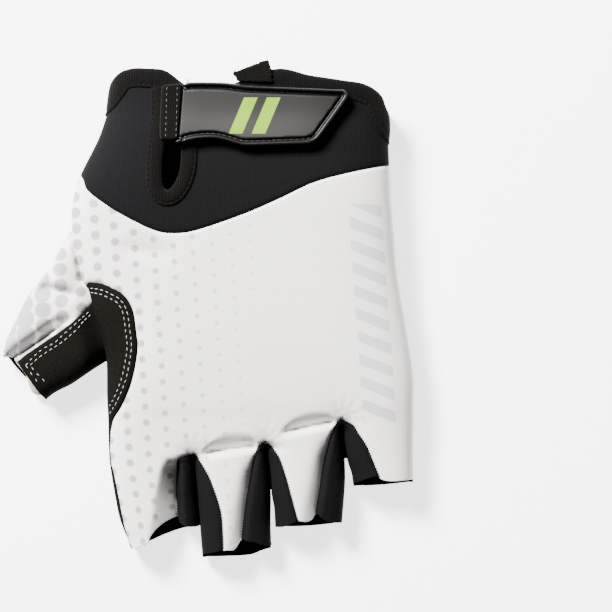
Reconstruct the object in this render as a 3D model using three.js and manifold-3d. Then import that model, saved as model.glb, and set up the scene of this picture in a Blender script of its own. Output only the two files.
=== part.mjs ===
// A half-finger cycling glove for the left hand, lying palm down with its back up.
// Millimetres. +Z is up, +Y runs from the fingers to the cuff, and the thumb is on the -X side.

import * as THREE from 'three';
import { mergeVertices } from 'three/addons/utils/BufferGeometryUtils.js';
import Module from 'manifold-3d';

const wasm = await Module();
wasm.setup();

// Driving dimensions
const handWidth = 112; // across the knuckles, lying flat
const gloveLength = 168; // cuff to middle fingertip
const handHeight = 21; // palm to back at the middle of the hand
const fingerHeight = 14; // a finger's thickness at the knuckle
const thumbHeight = 13.5; // the thumb's thickness at its root
const wall = 1.4; // stretch cloth with its backing
const waistShare = 0.42; // height of the widest line, as a share of the local height
const seamHeight = 4.6; // how far the palm leather reaches up the sides
const gap = 0.3; // between two pieces that are sewn or laid together

const cuffBindingWidth = 6.4;
const slitBindingWidth = 5.4;
const bindingProud = 0.5; // how far a binding stands out of the cloth on each face

const hookPadThickness = 1.5;
const strapThickness = 2.6;
const anchorThickness = 1.5;
const tapeThickness = 1.0;
const rimWidth = 1.9; // the strap's raised rim
const grooveWidth = 0.9; // the channel that its stitches lie in
const grooveDepth = 0.9;
const strapCornerLength = 5; // how much of each edge a rounded corner takes
const cornerEdgeShare = 0.45; // a rounded corner takes no more of an edge than this share
const cornerSpreadMin = 0.5; // keeps an inset outline from running far out at a sharp corner
const palmDrop = 1.04; // the hollow form dips below the palm, where it is cut level

// Mesh fineness
const bodySides = 30;
const fingerSides = 18;
const bodySteps = 16;
const fingerSteps = 6;
const thumbSteps = 8;
const cornerSteps = 3; // along each rounded corner of the strap
const curveSteps = 2; // points on each stretch of a smooth outline

// Sections of the hand from the cuff to the knuckles. Each runs from a left to a right point.
// x is a share of handWidth, y of gloveLength, and height of handHeight.
const handSections = [
  { leftX: -0.290, leftY: 0.540, rightX: 0.520, rightY: 0.540, height: 0.80 },
  { leftX: -0.303, leftY: 0.430, rightX: 0.550, rightY: 0.410, height: 0.88 },
  { leftX: -0.335, leftY: 0.355, rightX: 0.555, rightY: 0.350, height: 0.96 },
  { leftX: -0.393, leftY: 0.275, rightX: 0.560, rightY: 0.275, height: 1.00 },
  { leftX: -0.418, leftY: 0.215, rightX: 0.565, rightY: 0.215, height: 1.00 },
  { leftX: -0.418, leftY: 0.160, rightX: 0.572, rightY: 0.160, height: 0.98 },
  { leftX: -0.392, leftY: 0.090, rightX: 0.580, rightY: 0.090, height: 0.96 },
  { leftX: -0.350, leftY: 0.010, rightX: 0.595, rightY: 0.020, height: 0.94 },
  { leftX: -0.318, leftY: -0.080, rightX: 0.615, rightY: -0.060, height: 0.90 },
  { leftX: -0.312, leftY: -0.180, rightX: 0.632, rightY: -0.140, height: 0.82 },
  { leftX: -0.308, leftY: -0.270, rightX: 0.635, rightY: -0.215, height: 0.70 },
];

// Sections of each finger from the knuckle past its mouth, with height a share of fingerHeight.
const fingerSections = {
  index: [
    { leftX: -0.306, leftY: -0.190, rightX: -0.030, rightY: -0.200, height: 1.04 },
    { leftX: -0.308, leftY: -0.270, rightX: -0.040, rightY: -0.290, height: 1.04 },
    { leftX: -0.280, leftY: -0.380, rightX: -0.052, rightY: -0.380, height: 0.98 },
    { leftX: -0.232, leftY: -0.510, rightX: -0.034, rightY: -0.470, height: 0.90 },
  ],
  middle: [
    { leftX: -0.075, leftY: -0.200, rightX: 0.205, rightY: -0.200, height: 1.06 },
    { leftX: -0.050, leftY: -0.290, rightX: 0.195, rightY: -0.275, height: 1.06 },
    { leftX: -0.022, leftY: -0.390, rightX: 0.192, rightY: -0.385, height: 1.00 },
    { leftX: -0.012, leftY: -0.530, rightX: 0.199, rightY: -0.520, height: 0.92 },
  ],
  ring: [
    { leftX: 0.165, leftY: -0.190, rightX: 0.445, rightY: -0.170, height: 1.04 },
    { leftX: 0.185, leftY: -0.275, rightX: 0.425, rightY: -0.240, height: 1.04 },
    { leftX: 0.207, leftY: -0.370, rightX: 0.422, rightY: -0.360, height: 0.98 },
    { leftX: 0.211, leftY: -0.475, rightX: 0.408, rightY: -0.470, height: 0.90 },
  ],
  little: [
    { leftX: 0.395, leftY: -0.140, rightX: 0.634, rightY: -0.140, height: 1.02 },
    { leftX: 0.415, leftY: -0.235, rightX: 0.636, rightY: -0.240, height: 1.00 },
    { leftX: 0.444, leftY: -0.310, rightX: 0.636, rightY: -0.310, height: 0.96 },
    { leftX: 0.458, leftY: -0.390, rightX: 0.636, rightY: -0.385, height: 0.90 },
  ],
};

// Sections of the thumb from inside the hand past its mouth, with height a share of thumbHeight.
const thumbSections = [
  { leftX: -0.335, leftY: 0.190, rightX: -0.230, rightY: -0.060, height: 1.05 },
  { leftX: -0.420, leftY: 0.158, rightX: -0.300, rightY: -0.098, height: 1.03 },
  { leftX: -0.482, leftY: 0.097, rightX: -0.355, rightY: -0.125, height: 1.00 },
  { leftX: -0.550, leftY: 0.027, rightX: -0.420, rightY: -0.155, height: 0.96 },
  { leftX: -0.635, leftY: -0.088, rightX: -0.496, rightY: -0.185, height: 0.90 },
  { leftX: -0.680, leftY: -0.148, rightX: -0.545, rightY: -0.215, height: 0.90 },
];

// Soft hollows pressed into the back. x, across are shares of handWidth, y, along of
// gloveLength, depth of handHeight, and turn is in degrees.
const hollows = [
  { x: 0.070, y: -0.265, across: 0.055, along: 0.020, turn: -8, depth: 0.10 },
  { x: 0.300, y: -0.240, across: 0.070, along: 0.022, turn: 12, depth: 0.11 },
  { x: -0.090, y: -0.350, across: 0.022, along: 0.060, turn: 0, depth: 0.10 },
  { x: 0.175, y: -0.230, across: 0.022, along: 0.035, turn: 0, depth: 0.10 },
  { x: 0.400, y: -0.190, across: 0.025, along: 0.040, turn: 8, depth: 0.10 },
  { x: -0.040, y: -0.255, across: 0.024, along: 0.035, turn: -6, depth: 0.10 },
  { x: -0.440, y: -0.020, across: 0.085, along: 0.016, turn: 32, depth: 0.12 },
  { x: 0.480, y: 0.390, across: 0.060, along: 0.030, turn: -24, depth: 0.12 },
];

// Outlines seen from above, x in shares of handWidth and y in shares of gloveLength.
const cuffEdge = [
  [-0.420, 0.400], [-0.312, 0.433], [-0.265, 0.466], [-0.210, 0.490], [-0.148, 0.482],
  [-0.089, 0.468], [-0.025, 0.472], [0.085, 0.486], [0.194, 0.490], [0.290, 0.480],
  [0.422, 0.462], [0.493, 0.439], [0.555, 0.402], [0.640, 0.370],
];
const wristSeam = [
  [-0.500, 0.330], [-0.394, 0.275], [-0.367, 0.242], [-0.302, 0.209], [-0.246, 0.187],
  [-0.169, 0.162], [-0.111, 0.154], [-0.034, 0.160], [0.111, 0.193], [0.219, 0.224],
  [0.317, 0.255], [0.407, 0.273], [0.555, 0.294], [0.680, 0.304],
];
const slitLine = [
  [-0.150, 0.540], [-0.146, 0.410], [-0.154, 0.326], [-0.156, 0.280], [-0.137, 0.248],
  [-0.111, 0.240], [-0.085, 0.254], [-0.063, 0.292], [-0.055, 0.345], [-0.052, 0.410],
  [-0.050, 0.540],
];
const strapCorners = [
  [-0.066, 0.459], [0.432, 0.447], [0.332, 0.336], [0.105, 0.331], [0.045, 0.350],
  [-0.066, 0.344],
];
const anchorOutline = [
  [-0.142, 0.458], [-0.070, 0.459], [-0.070, 0.343], [-0.142, 0.346],
];
const hookPadOutline = [
  [0.040, 0.440], [0.365, 0.432], [0.300, 0.352], [0.100, 0.348], [0.040, 0.360],
];
const tapeOutline = [
  [0.074, 0.483], [0.100, 0.494], [0.128, 0.499], [0.182, 0.511], [0.197, 0.487],
  [0.200, 0.446], [0.090, 0.446],
];
const thumbRoot = [
  [-0.480, 0.230], [-0.436, 0.190], [-0.405, 0.140], [-0.378, 0.075], [-0.358, 0.036],
  [-0.330, -0.018], [-0.314, -0.064], [-0.298, -0.125],
];
const thumbSeam = [
  [-0.270, 0.075], [-0.333, 0.035], [-0.368, 0.006], [-0.418, -0.027], [-0.483, -0.062],
  [-0.585, -0.111], [-0.720, -0.160],
];
const patchEdge = [
  [-0.480, 0.010], [-0.420, 0.042], [-0.364, 0.054], [-0.308, 0.047], [-0.268, 0.029],
  [-0.230, 0.000], [-0.219, -0.047], [-0.215, -0.076], [-0.222, -0.113], [-0.237, -0.154],
  [-0.265, -0.197], [-0.284, -0.232], [-0.288, -0.275], [-0.271, -0.350], [-0.250, -0.433],
  [-0.222, -0.540],
];
// The white cloth between two fingers ends on these lines, from the finger's mouth up to the
// notch and down the next finger.
const notches = {
  index_middle: [
    [-0.092, -0.560], [-0.092, -0.450], [-0.092, -0.372], [-0.096, -0.318], [-0.084, -0.303],
    [-0.043, -0.300], [-0.012, -0.324], [0.012, -0.357], [0.034, -0.394], [0.046, -0.435],
    [0.049, -0.560],
  ],
  middle_ring: [
    [0.083, -0.560], [0.106, -0.433], [0.123, -0.353], [0.132, -0.331], [0.154, -0.288],
    [0.176, -0.276], [0.200, -0.285], [0.222, -0.306], [0.237, -0.341], [0.253, -0.374],
    [0.265, -0.411], [0.290, -0.560],
  ],
  ring_little: [
    [0.322, -0.560], [0.335, -0.419], [0.348, -0.359], [0.360, -0.306], [0.373, -0.271],
    [0.391, -0.246], [0.410, -0.224], [0.444, -0.232], [0.484, -0.275], [0.508, -0.316],
    [0.534, -0.372], [0.545, -0.560],
  ],
};
// The mouths of the fingers, left to right, for the back and for the longer palm.
const backMouths = [
  [-0.300, -0.518], [-0.231, -0.495], [-0.179, -0.480], [-0.154, -0.456], [-0.129, -0.439],
  [-0.096, -0.428], [-0.036, -0.440], [-0.036, -0.485], [0.012, -0.492], [0.083, -0.493],
  [0.130, -0.477], [0.203, -0.474], [0.203, -0.434], [0.283, -0.437], [0.313, -0.435],
  [0.333, -0.415], [0.432, -0.418], [0.432, -0.350], [0.534, -0.351], [0.604, -0.353],
  [0.680, -0.347],
];
const palmMouths = [
  [-0.300, -0.520], [-0.237, -0.500], [-0.179, -0.484], [-0.102, -0.462], [-0.036, -0.446],
  [-0.036, -0.513], [0.099, -0.508], [0.150, -0.502], [0.203, -0.492], [0.203, -0.452],
  [0.432, -0.445], [0.432, -0.366], [0.530, -0.368], [0.680, -0.359],
];
const thumbMouth = [[-0.640, -0.070], [-0.635, -0.090], [-0.496, -0.186], [-0.480, -0.200]];

// Outline helpers
const place = ([x, y]) => new THREE.Vector2(x * handWidth, y * gloveLength);
const smooth = (line) => {
  const curve = new THREE.SplineCurve(line.map(place));
  return curve.getPoints((line.length - 1) * curveSteps);
};
const beyond = 2 * gloveLength; // well outside the glove

// The outline of all that lies on one side of a line. The side is given by far corners.
const sideOf = (line, corners) => line.concat(
  corners.map(([x, y]) => new THREE.Vector2(x * beyond, y * beyond)),
);

// A closed band of even width along a line.
function ribbon(line, width) {
  const left = [];
  const right = [];
  line.forEach((point, i) => {
    const before = line[Math.max(i - 1, 0)];
    const after = line[Math.min(i + 1, line.length - 1)];
    const across = after.clone().sub(before).normalize();
    const normal = new THREE.Vector2(-across.y, across.x).multiplyScalar(width / 2);
    left.push(point.clone().add(normal));
    right.push(point.clone().sub(normal));
  });
  return left.concat(right.reverse());
}

// A closed outline moved inwards by a distance at every corner, or outwards if it is negative.
function inset(outline, distance) {
  const inward = THREE.ShapeUtils.isClockWise(outline) ? -1 : 1;
  if (distance === 0) return outline;
  return outline.map((point, i) => {
    const before = outline[(i + outline.length - 1) % outline.length];
    const after = outline[(i + 1) % outline.length];
    const along = point.clone().sub(before).normalize();
    const next = after.clone().sub(point).normalize();
    const bisector = new THREE.Vector2(-along.y - next.y, along.x + next.x).normalize();
    const spread = Math.max(bisector.dot(new THREE.Vector2(-along.y, along.x)), cornerSpreadMin);
    return point.clone().add(bisector.multiplyScalar((inward * distance) / spread));
  });
}

// An outline with each corner rounded off over a length of its edges.
function rounded(outline, length) {
  return outline.flatMap((point, i) => {
    const before = outline[(i + outline.length - 1) % outline.length];
    const after = outline[(i + 1) % outline.length];
    const reach = (other) => Math.min(length / point.distanceTo(other), cornerEdgeShare);
    const start = point.clone().lerp(before, reach(before));
    const end = point.clone().lerp(after, reach(after));
    return new THREE.QuadraticBezierCurve(start, point, end).getPoints(cornerSteps);
  });
}

// Solids
function toSolid(geometry) {
  geometry.deleteAttribute('normal');
  geometry.deleteAttribute('uv');
  const merged = mergeVertices(geometry, 1e-4);
  return new wasm.Manifold(new wasm.Mesh({
    numProp: 3,
    vertProperties: new Float32Array(merged.attributes.position.array),
    triVerts: new Uint32Array(merged.index.array),
  }));
}

function prism(outline, low = -handHeight, high = 3 * handHeight) {
  const shape = new THREE.Shape(outline);
  const geometry = new THREE.ExtrudeGeometry(shape, {
    depth: high - low, bevelEnabled: false, curveSegments: 1,
  });
  geometry.translate(0, 0, low);
  return toSolid(geometry);
}

function hollowDepth(x, y) {
  let depth = 0;
  for (const hollow of hollows) {
    const turn = THREE.MathUtils.degToRad(hollow.turn);
    const dx = x - hollow.x * handWidth;
    const dy = y - hollow.y * gloveLength;
    const across = (dx * Math.cos(turn) + dy * Math.sin(turn)) / (hollow.across * handWidth);
    const along = (dy * Math.cos(turn) - dx * Math.sin(turn)) / (hollow.along * gloveLength);
    depth += hollow.depth * handHeight * Math.exp(-across * across - along * along);
  }
  return depth;
}

const topFullness = 0.74; // below 1 the back is fuller than an ellipse
const palmFullness = 0.36; // the palm lies nearly flat

// A tube through the sections, grown outwards by a distance, or inwards if it is negative.
function tube(sections, size, sides, steps, grow) {
  const ends = (key) => new THREE.CatmullRomCurve3(sections.map((section) => new THREE.Vector3(
    section[key + 'X'] * handWidth, section[key + 'Y'] * gloveLength, section.height * size,
  )), false, 'centripetal');
  const leftCurve = ends('left');
  const rightCurve = ends('right');
  const positions = [];
  for (let step = 0; step <= steps; step += 1) {
    const left = leftCurve.getPoint(step / steps);
    const right = rightCurve.getPoint(step / steps);
    const middle = left.clone().add(right).multiplyScalar(0.5);
    const half = Math.hypot(right.x - left.x, right.y - left.y) / 2;
    const acrossX = (right.x - left.x) / (2 * half);
    const acrossY = (right.y - left.y) / (2 * half);
    const waist = middle.z * waistShare;
    for (let side = 0; side < sides; side += 1) {
      const angle = (2 * Math.PI * side) / sides;
      const c = Math.cos(angle);
      const s = Math.sin(angle);
      const fullness = s >= 0 ? topFullness : palmFullness;
      const offset = (half + grow) * Math.sign(c) * Math.abs(c) ** fullness;
      const x = middle.x + acrossX * offset;
      const y = middle.y + acrossY * offset;
      const lift = Math.abs(s) ** fullness;
      const top = waist + (middle.z + grow - waist) * lift - hollowDepth(x, y) * lift;
      const bottom = Math.max(waist - (waist + grow) * lift * palmDrop, Math.max(0, -grow));
      positions.push(x, y, s >= 0 ? top : bottom);
    }
    // The cap's centre, used only on the first and the last section
    positions.push(middle.x, middle.y, waist);
  }
  const index = [];
  const ring = sides + 1;
  for (let side = 0; side < sides; side += 1) {
    const next = (side + 1) % sides;
    for (let step = 0; step < steps; step += 1) {
      const a = step * ring + side;
      const b = step * ring + next;
      index.push(a, b, a + ring, b, b + ring, a + ring);
    }
    index.push(sides, next, side);
    index.push(steps * ring + sides, steps * ring + side, steps * ring + next);
  }
  const geometry = new THREE.BufferGeometry();
  geometry.setAttribute('position', new THREE.Float32BufferAttribute(positions, 3));
  geometry.setIndex(index);
  return toSolid(geometry);
}

const handTube = (grow) => tube(handSections, handHeight, bodySides, bodySteps, grow);

function gloveForm(grow) {
  let form = handTube(grow);
  for (const sections of Object.values(fingerSections)) {
    form = form.add(tube(sections, fingerHeight, fingerSides, fingerSteps, grow));
  }
  return form.add(tube(thumbSections, thumbHeight, fingerSides, thumbSteps, grow));
}

// A layer that follows the hand's form between two distances from its surface.
const layer = (low, high) => handTube(high).subtract(handTube(low));

// Regions seen from above
const cuffLine = smooth(cuffEdge);
const seamLine = smooth(wristSeam);
const slitCurve = smooth(slitLine);
const rootLine = smooth(thumbRoot);
const thumbSeamLine = smooth(thumbSeam);
const patchLine = smooth(patchEdge);
const down = [[1, -1], [-1, -1]];
const up = [[1, 1], [-1, 1]];

const everywhere = sideOf([], [[-1, -1], [1, -1], [1, 1], [-1, 1]]);
// Each region is grown by a distance past its outline, or cut short of it if negative.
const region = (outline) => (extra) => prism(inset(outline, -extra));

const belowCuff = region(sideOf(cuffLine, down));
const aboveWristSeam = region(sideOf(seamLine, up));
const belowWristSeam = region(sideOf(seamLine, down));
const thumbSide = region(sideOf(rootLine, [[-1, -1], [-1, 1]]));
const thumbWhite = region(sideOf(thumbSeamLine, [[-1, -0.1], [-1, 1], [0, 1]]));
const patchSide = region(sideOf(patchLine, [[-0.1, -1], [-1, -1], [-1, 0]]));
const slitBand = (extra) => prism(ribbon(slitCurve, slitBindingWidth + 2 * extra), seamHeight);
const slitInside = prism(slitCurve, seamHeight);
const backKeep = region(sideOf(backMouths.map(place), up))(0);
const palmKeep = region(sideOf(palmMouths.map(place), up))(0);
const thumbKeep = region(
  sideOf(thumbMouth.map(place), [[-0.15, -1], [1, -1], [1, 1], [-0.4, 1]]),
)(0);
const fingerZone = prism(sideOf([], [[-1, -1], [1, -1], [1, 0], [-1, 0]]));
const aboveSide = (height) => prism(everywhere, height);
const belowSide = (height) => prism(everywhere, -handHeight, height);

// The sewn shell: the outer form less the hollow for the hand
const shell = gloveForm(0).subtract(gloveForm(-wall)).intersect(thumbKeep);
const body = shell.intersect(belowCuff(-cuffBindingWidth - gap));
const upper = aboveSide(seamHeight + gap / 2);
const back = body.intersect(upper).intersect(backKeep);

const pieces = [];
const weldDistance = 1e-3;

// The triangles of a solid, less any two that lie back to back with nothing between them.
function surfaceOf(solid) {
  const mesh = solid.getMesh();
  const geometry = new THREE.BufferGeometry();
  geometry.setAttribute('position', new THREE.Float32BufferAttribute(mesh.vertProperties, 3));
  geometry.setIndex(new THREE.Uint32BufferAttribute(mesh.triVerts, 1));
  const merged = mergeVertices(geometry, weldDistance);
  const triangles = new Map();
  for (let i = 0; i < merged.index.count; i += 3) {
    const corners = [0, 1, 2].map((k) => merged.index.getX(i + k));
    const key = [...corners].sort((a, b) => a - b).join();
    if (new Set(corners).size < 3) continue;
    if (triangles.has(key)) triangles.delete(key);
    else triangles.set(key, corners);
  }
  merged.setIndex([...triangles.values()].flat());
  return merged;
}

// A cut can leave an offcut that hangs on by one edge, so the main body is taken twice.
const mainBody = (solid) => solid.decompose().sort((a, b) => b.volume() - a.volume())[0];

function addPiece(name, solid, color, roughness) {
  const main = mainBody(toSolid(surfaceOf(mainBody(solid))));
  const material = new THREE.MeshStandardMaterial({ color, roughness, metalness: 0 });
  const piece = new THREE.Mesh(surfaceOf(main), material);
  piece.name = name;
  pieces.push(piece);
}

const white = 0xeeecea;
const blackCloth = 0x141416;
const suede = 0x1b1a19;
const rubber = 0x2b2b2d;

// Back of the hand, with a fourchette between each two fingers
const fingerWalls = back.intersect(fingerZone).subtract(patchSide(gap));
let whiteBack = back.intersect(belowWristSeam(-gap / 2)).subtract(thumbSide(gap / 2))
  .subtract(patchSide(gap / 2));
for (const [name, line] of Object.entries(notches)) {
  const notch = region(smooth(line));
  whiteBack = whiteBack.subtract(notch(gap));
  addPiece(`fourchette_${name}`, fingerWalls.intersect(notch(0)), blackCloth, 0.8);
}
addPiece('back_panel', whiteBack, white, 0.75);
const slitCut = slitInside.add(slitBand(gap));
addPiece('wrist_panel', back.intersect(aboveWristSeam(-gap / 2)).subtract(slitCut), blackCloth, 0.8);

// Palm, thumb and the patch between thumb and index finger
const patch = back.intersect(patchSide(-gap / 2)).subtract(thumbSide(gap / 2));
addPiece('thumb_patch', patch, suede, 0.95);
const palm = body.intersect(belowSide(seamHeight - gap / 2)).intersect(palmKeep)
  .subtract(thumbSide(gap / 2));
addPiece('palm_panel', palm, suede, 0.95);
const thumb = body.intersect(thumbSide(-gap / 2));
const thumbBack = thumb.intersect(upper).intersect(thumbWhite(-gap / 2));
addPiece('thumb_back', thumbBack, white, 0.75);
const whiteAndGap = aboveSide(seamHeight - gap / 2).intersect(thumbWhite(gap / 2));
addPiece('thumb_palm', thumb.subtract(whiteAndGap), suede, 0.95);

// Bindings of the cuff and of the slit
const bindingLayer = layer(-wall - bindingProud, bindingProud).intersect(belowCuff(0));
addPiece(
  'cuff_binding',
  bindingLayer.subtract(belowCuff(-cuffBindingWidth)).subtract(slitCut),
  blackCloth, 0.9,
);
addPiece(
  'slit_binding',
  bindingLayer.intersect(slitBand(0)),
  blackCloth, 0.9,
);

// Closure: the hook pad on the wrist, the strap over it, its sewn end and the tape end
const padLow = gap;
const padHigh = padLow + hookPadThickness;
const tapeLow = bindingProud + gap;
const tapeHigh = tapeLow + tapeThickness;
const strapLow = Math.max(padHigh, tapeHigh) + gap;
const strapHigh = strapLow + strapThickness;
const strapLine = strapCorners.map(place);
const strapRegion = (distance) => prism(
  rounded(inset(strapLine, distance), strapCornerLength - distance), handHeight / 2,
);
addPiece(
  'hook_pad',
  layer(padLow, padHigh).intersect(prism(hookPadOutline.map(place), handHeight / 2)),
  blackCloth, 0.95,
);
const groove = strapRegion(rimWidth).subtract(strapRegion(rimWidth + grooveWidth));
addPiece(
  'strap',
  layer(strapLow, strapHigh).intersect(strapRegion(0))
    .subtract(layer(strapHigh - grooveDepth, strapHigh + grooveDepth).intersect(groove)),
  rubber, 0.5,
);
addPiece(
  'strap_anchor',
  layer(tapeLow, tapeLow + anchorThickness)
    .intersect(prism(anchorOutline.map(place), handHeight / 2)),
  blackCloth, 0.85,
);
addPiece(
  'tape_end',
  layer(tapeLow, tapeHigh)
    .intersect(prism(tapeOutline.map(place), handHeight / 2)),
  blackCloth, 0.95,
);

// The origin is at the middle of the underside
const glove = new THREE.Group();
pieces.forEach((piece) => glove.add(piece));
const box = new THREE.Box3().setFromObject(glove);
const centre = box.getCenter(new THREE.Vector3());
pieces.forEach((piece) => piece.position.set(-centre.x, -centre.y, -box.min.z));

export default glove;
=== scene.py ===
import bpy
import math
import numpy as np
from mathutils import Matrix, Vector, geometry, kdtree


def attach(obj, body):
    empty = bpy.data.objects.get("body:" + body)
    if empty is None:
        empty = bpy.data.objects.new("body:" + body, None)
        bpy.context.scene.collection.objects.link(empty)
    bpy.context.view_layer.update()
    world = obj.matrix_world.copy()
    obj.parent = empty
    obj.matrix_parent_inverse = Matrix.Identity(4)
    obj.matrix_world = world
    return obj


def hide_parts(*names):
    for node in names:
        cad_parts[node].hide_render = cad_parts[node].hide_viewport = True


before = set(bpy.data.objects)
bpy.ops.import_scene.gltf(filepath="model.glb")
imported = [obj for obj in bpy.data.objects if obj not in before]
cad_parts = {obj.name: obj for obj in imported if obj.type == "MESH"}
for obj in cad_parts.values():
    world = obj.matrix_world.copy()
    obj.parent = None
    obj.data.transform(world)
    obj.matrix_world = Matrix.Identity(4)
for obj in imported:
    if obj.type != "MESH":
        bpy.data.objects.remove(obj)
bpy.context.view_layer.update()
mm = 0.001

# The glove's sizes in millimetres, the same as in the CAD
glove = {
    "handWidth": 112.0, "gloveLength": 168.0, "handHeight": 21.0, "thumbHeight": 13.5,
    "wall": 1.2, "waistShare": 0.42, "seamHeight": 4.6, "archPower": 2.7, "handReach": 34.0,
    "fingerReach": 12.6, "fingersFrom": (0.02, 0.29), "thumbReach": 11.0, "palmCorner": 4.6, "palmPower": 2.6,
    "seamDip": 0.55, "thumbSeamDip": 0.5, "seamSpread": 0.55, "patchLift": 0.55, "foldEdge": 2.0,
    "skirtRows": 5, "skirtTurn": 26.0, "skirtPower": 5.6, "skirtLift": 0.15, "onEdge": 0.02,
    "spacing": 0.95, "palmSpacing": 1.4, "puckerReach": 7.0, "puckerWaves": 13, "puckerSize": 0.22,
}
# The thumb rises toward its root, and is tucked under the hand there, more so above the patch
thumb = {
    "least": 0.9, "rise": 0.15, "riseAt": (-70, -35), "tuck": 6.0, "tuckReach": (-1.5, 8.0),
    "rootTuck": 4.6, "rootReach": (-0.4, 1.5), "rootFrom": (0.052, 0.068), "clear": 0.6,
}

# Outlines seen from above, as shares of handWidth and gloveLength
handOutline = [
    (-0.29, 0.6), (-0.294, 0.51), (-0.303, 0.43), (-0.335, 0.355), (-0.393, 0.275), (-0.418, 0.215),
    (-0.419, 0.16), (-0.41, 0.12), (-0.388, 0.06), (-0.368, 0.038), (-0.35, -0.014), (-0.332, -0.053),
    (-0.314, -0.1), (-0.312, -0.18), (-0.309, -0.228), (-0.308, -0.266), (-0.3056, -0.308), (-0.299, -0.342),
    (-0.287, -0.389), (-0.2757, -0.427), (-0.2588, -0.4595), (-0.2415, -0.4897), (-0.2, -0.61),
    (-0.07, -0.61), (-0.045, -0.51), (-0.0325, -0.46), (-0.029, -0.448), (-0.0288, -0.43), (-0.0365, -0.38),
    (-0.0422, -0.325), (-0.0437, -0.3095), (-0.0415, -0.325), (-0.0342, -0.38), (-0.0262, -0.445),
    (-0.019, -0.506), (-0.017, -0.525), (-0.01, -0.61), (0.165, -0.61), (0.186, -0.52), (0.193, -0.495),
    (0.194, -0.48), (0.1925, -0.4415), (0.1932, -0.385), (0.189, -0.34), (0.183, -0.308), (0.178, -0.29),
    (0.1852, -0.308), (0.1912, -0.34), (0.1955, -0.38), (0.2033, -0.4107), (0.2062, -0.442), (0.208, -0.455),
    (0.225, -0.5), (0.25, -0.61), (0.38, -0.61), (0.405, -0.475), (0.412, -0.448), (0.4145, -0.43),
    (0.4195, -0.39), (0.4232, -0.345), (0.42, -0.29), (0.414, -0.25), (0.4225, -0.285), (0.431, -0.315),
    (0.443, -0.34), (0.4475, -0.36), (0.456, -0.385), (0.47, -0.43), (0.5, -0.61), (0.632, -0.61),
    (0.6332, -0.42), (0.6332, -0.349), (0.6328, -0.29), (0.634, -0.23), (0.633, -0.14), (0.616, -0.06),
    (0.595, 0.02), (0.58, 0.09), (0.572, 0.16), (0.565, 0.215), (0.56, 0.275), (0.555, 0.35), (0.551, 0.41),
    (0.535, 0.51), (0.525, 0.6),
]
thumbOutline = [
    (-0.2, 0.33), (-0.3, 0.27), (-0.4185, 0.164), (-0.4285, 0.158), (-0.468, 0.112), (-0.511, 0.065),
    (-0.543, 0.041), (-0.568, 0.015), (-0.59, -0.016), (-0.621, -0.058), (-0.64, -0.095), (-0.72, -0.2),
    (-0.58, -0.265), (-0.501, -0.1865), (-0.421, -0.154), (-0.366, -0.129), (-0.307, -0.104), (-0.2, -0.06),
]
cuffEdge = [
    (-0.4, 0.4), (-0.33, 0.438), (-0.304, 0.458), (-0.289, 0.4725), (-0.2622, 0.4865), (-0.2249, 0.4916),
    (-0.1885, 0.4908), (-0.1356, 0.4873), (-0.1017, 0.4739), (-0.078, 0.461), (-0.05, 0.452), (-0.005, 0.45),
    (0.05, 0.454), (0.1, 0.464), (0.15, 0.479), (0.197, 0.488), (0.228, 0.49), (0.263, 0.486), (0.311, 0.477),
    (0.4097, 0.467), (0.4837, 0.459), (0.533, 0.437), (0.5576, 0.4), (0.64, 0.33),
]
wristSeam = [
    (-0.5, 0.33), (-0.394, 0.275), (-0.367, 0.242), (-0.302, 0.209), (-0.246, 0.187), (-0.169, 0.162),
    (-0.111, 0.154), (-0.034, 0.16), (0.111, 0.193), (0.219, 0.224), (0.317, 0.255), (0.407, 0.273),
    (0.555, 0.294), (0.68, 0.304),
]
slitLine = [
    (-0.15, 0.54), (-0.1463, 0.41), (-0.156, 0.33), (-0.162, 0.2854), (-0.157, 0.2454), (-0.142, 0.231),
    (-0.12, 0.2262), (-0.097, 0.233), (-0.08, 0.247), (-0.064, 0.27), (-0.057, 0.295), (-0.053, 0.345),
    (-0.052, 0.41), (-0.05, 0.54),
]
thumbRoot = [
    (-0.37, 0.33), (-0.388, 0.24), (-0.385, 0.19), (-0.375, 0.14), (-0.357, 0.075), (-0.335, 0.03),
    (-0.312, -0.018), (-0.298, -0.064), (-0.285, -0.125), (-0.27, -0.2),
]
thumbSeam = [
    (-0.27, 0.085), (-0.32, 0.04), (-0.3635, 0.0086), (-0.3894, -0.0111), (-0.421, -0.0308),
    (-0.472, -0.0554), (-0.5228, -0.0766), (-0.584, -0.108), (-0.7, -0.175),
]
patchEdge = [
    (-0.48, 0.03), (-0.4, 0.04), (-0.3773, 0.0478), (-0.3635, 0.0534), (-0.342, 0.0526), (-0.311, 0.0478),
    (-0.287, 0.04), (-0.2557, 0.028), (-0.23, 0.0), (-0.219, -0.047), (-0.215, -0.076), (-0.222, -0.113),
    (-0.237, -0.154), (-0.265, -0.197), (-0.2927, -0.228), (-0.302, -0.266), (-0.3005, -0.3115),
    (-0.29, -0.342), (-0.2785, -0.38), (-0.265, -0.427), (-0.2557, -0.456), (-0.236, -0.492), (-0.19, -0.57),
]
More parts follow.
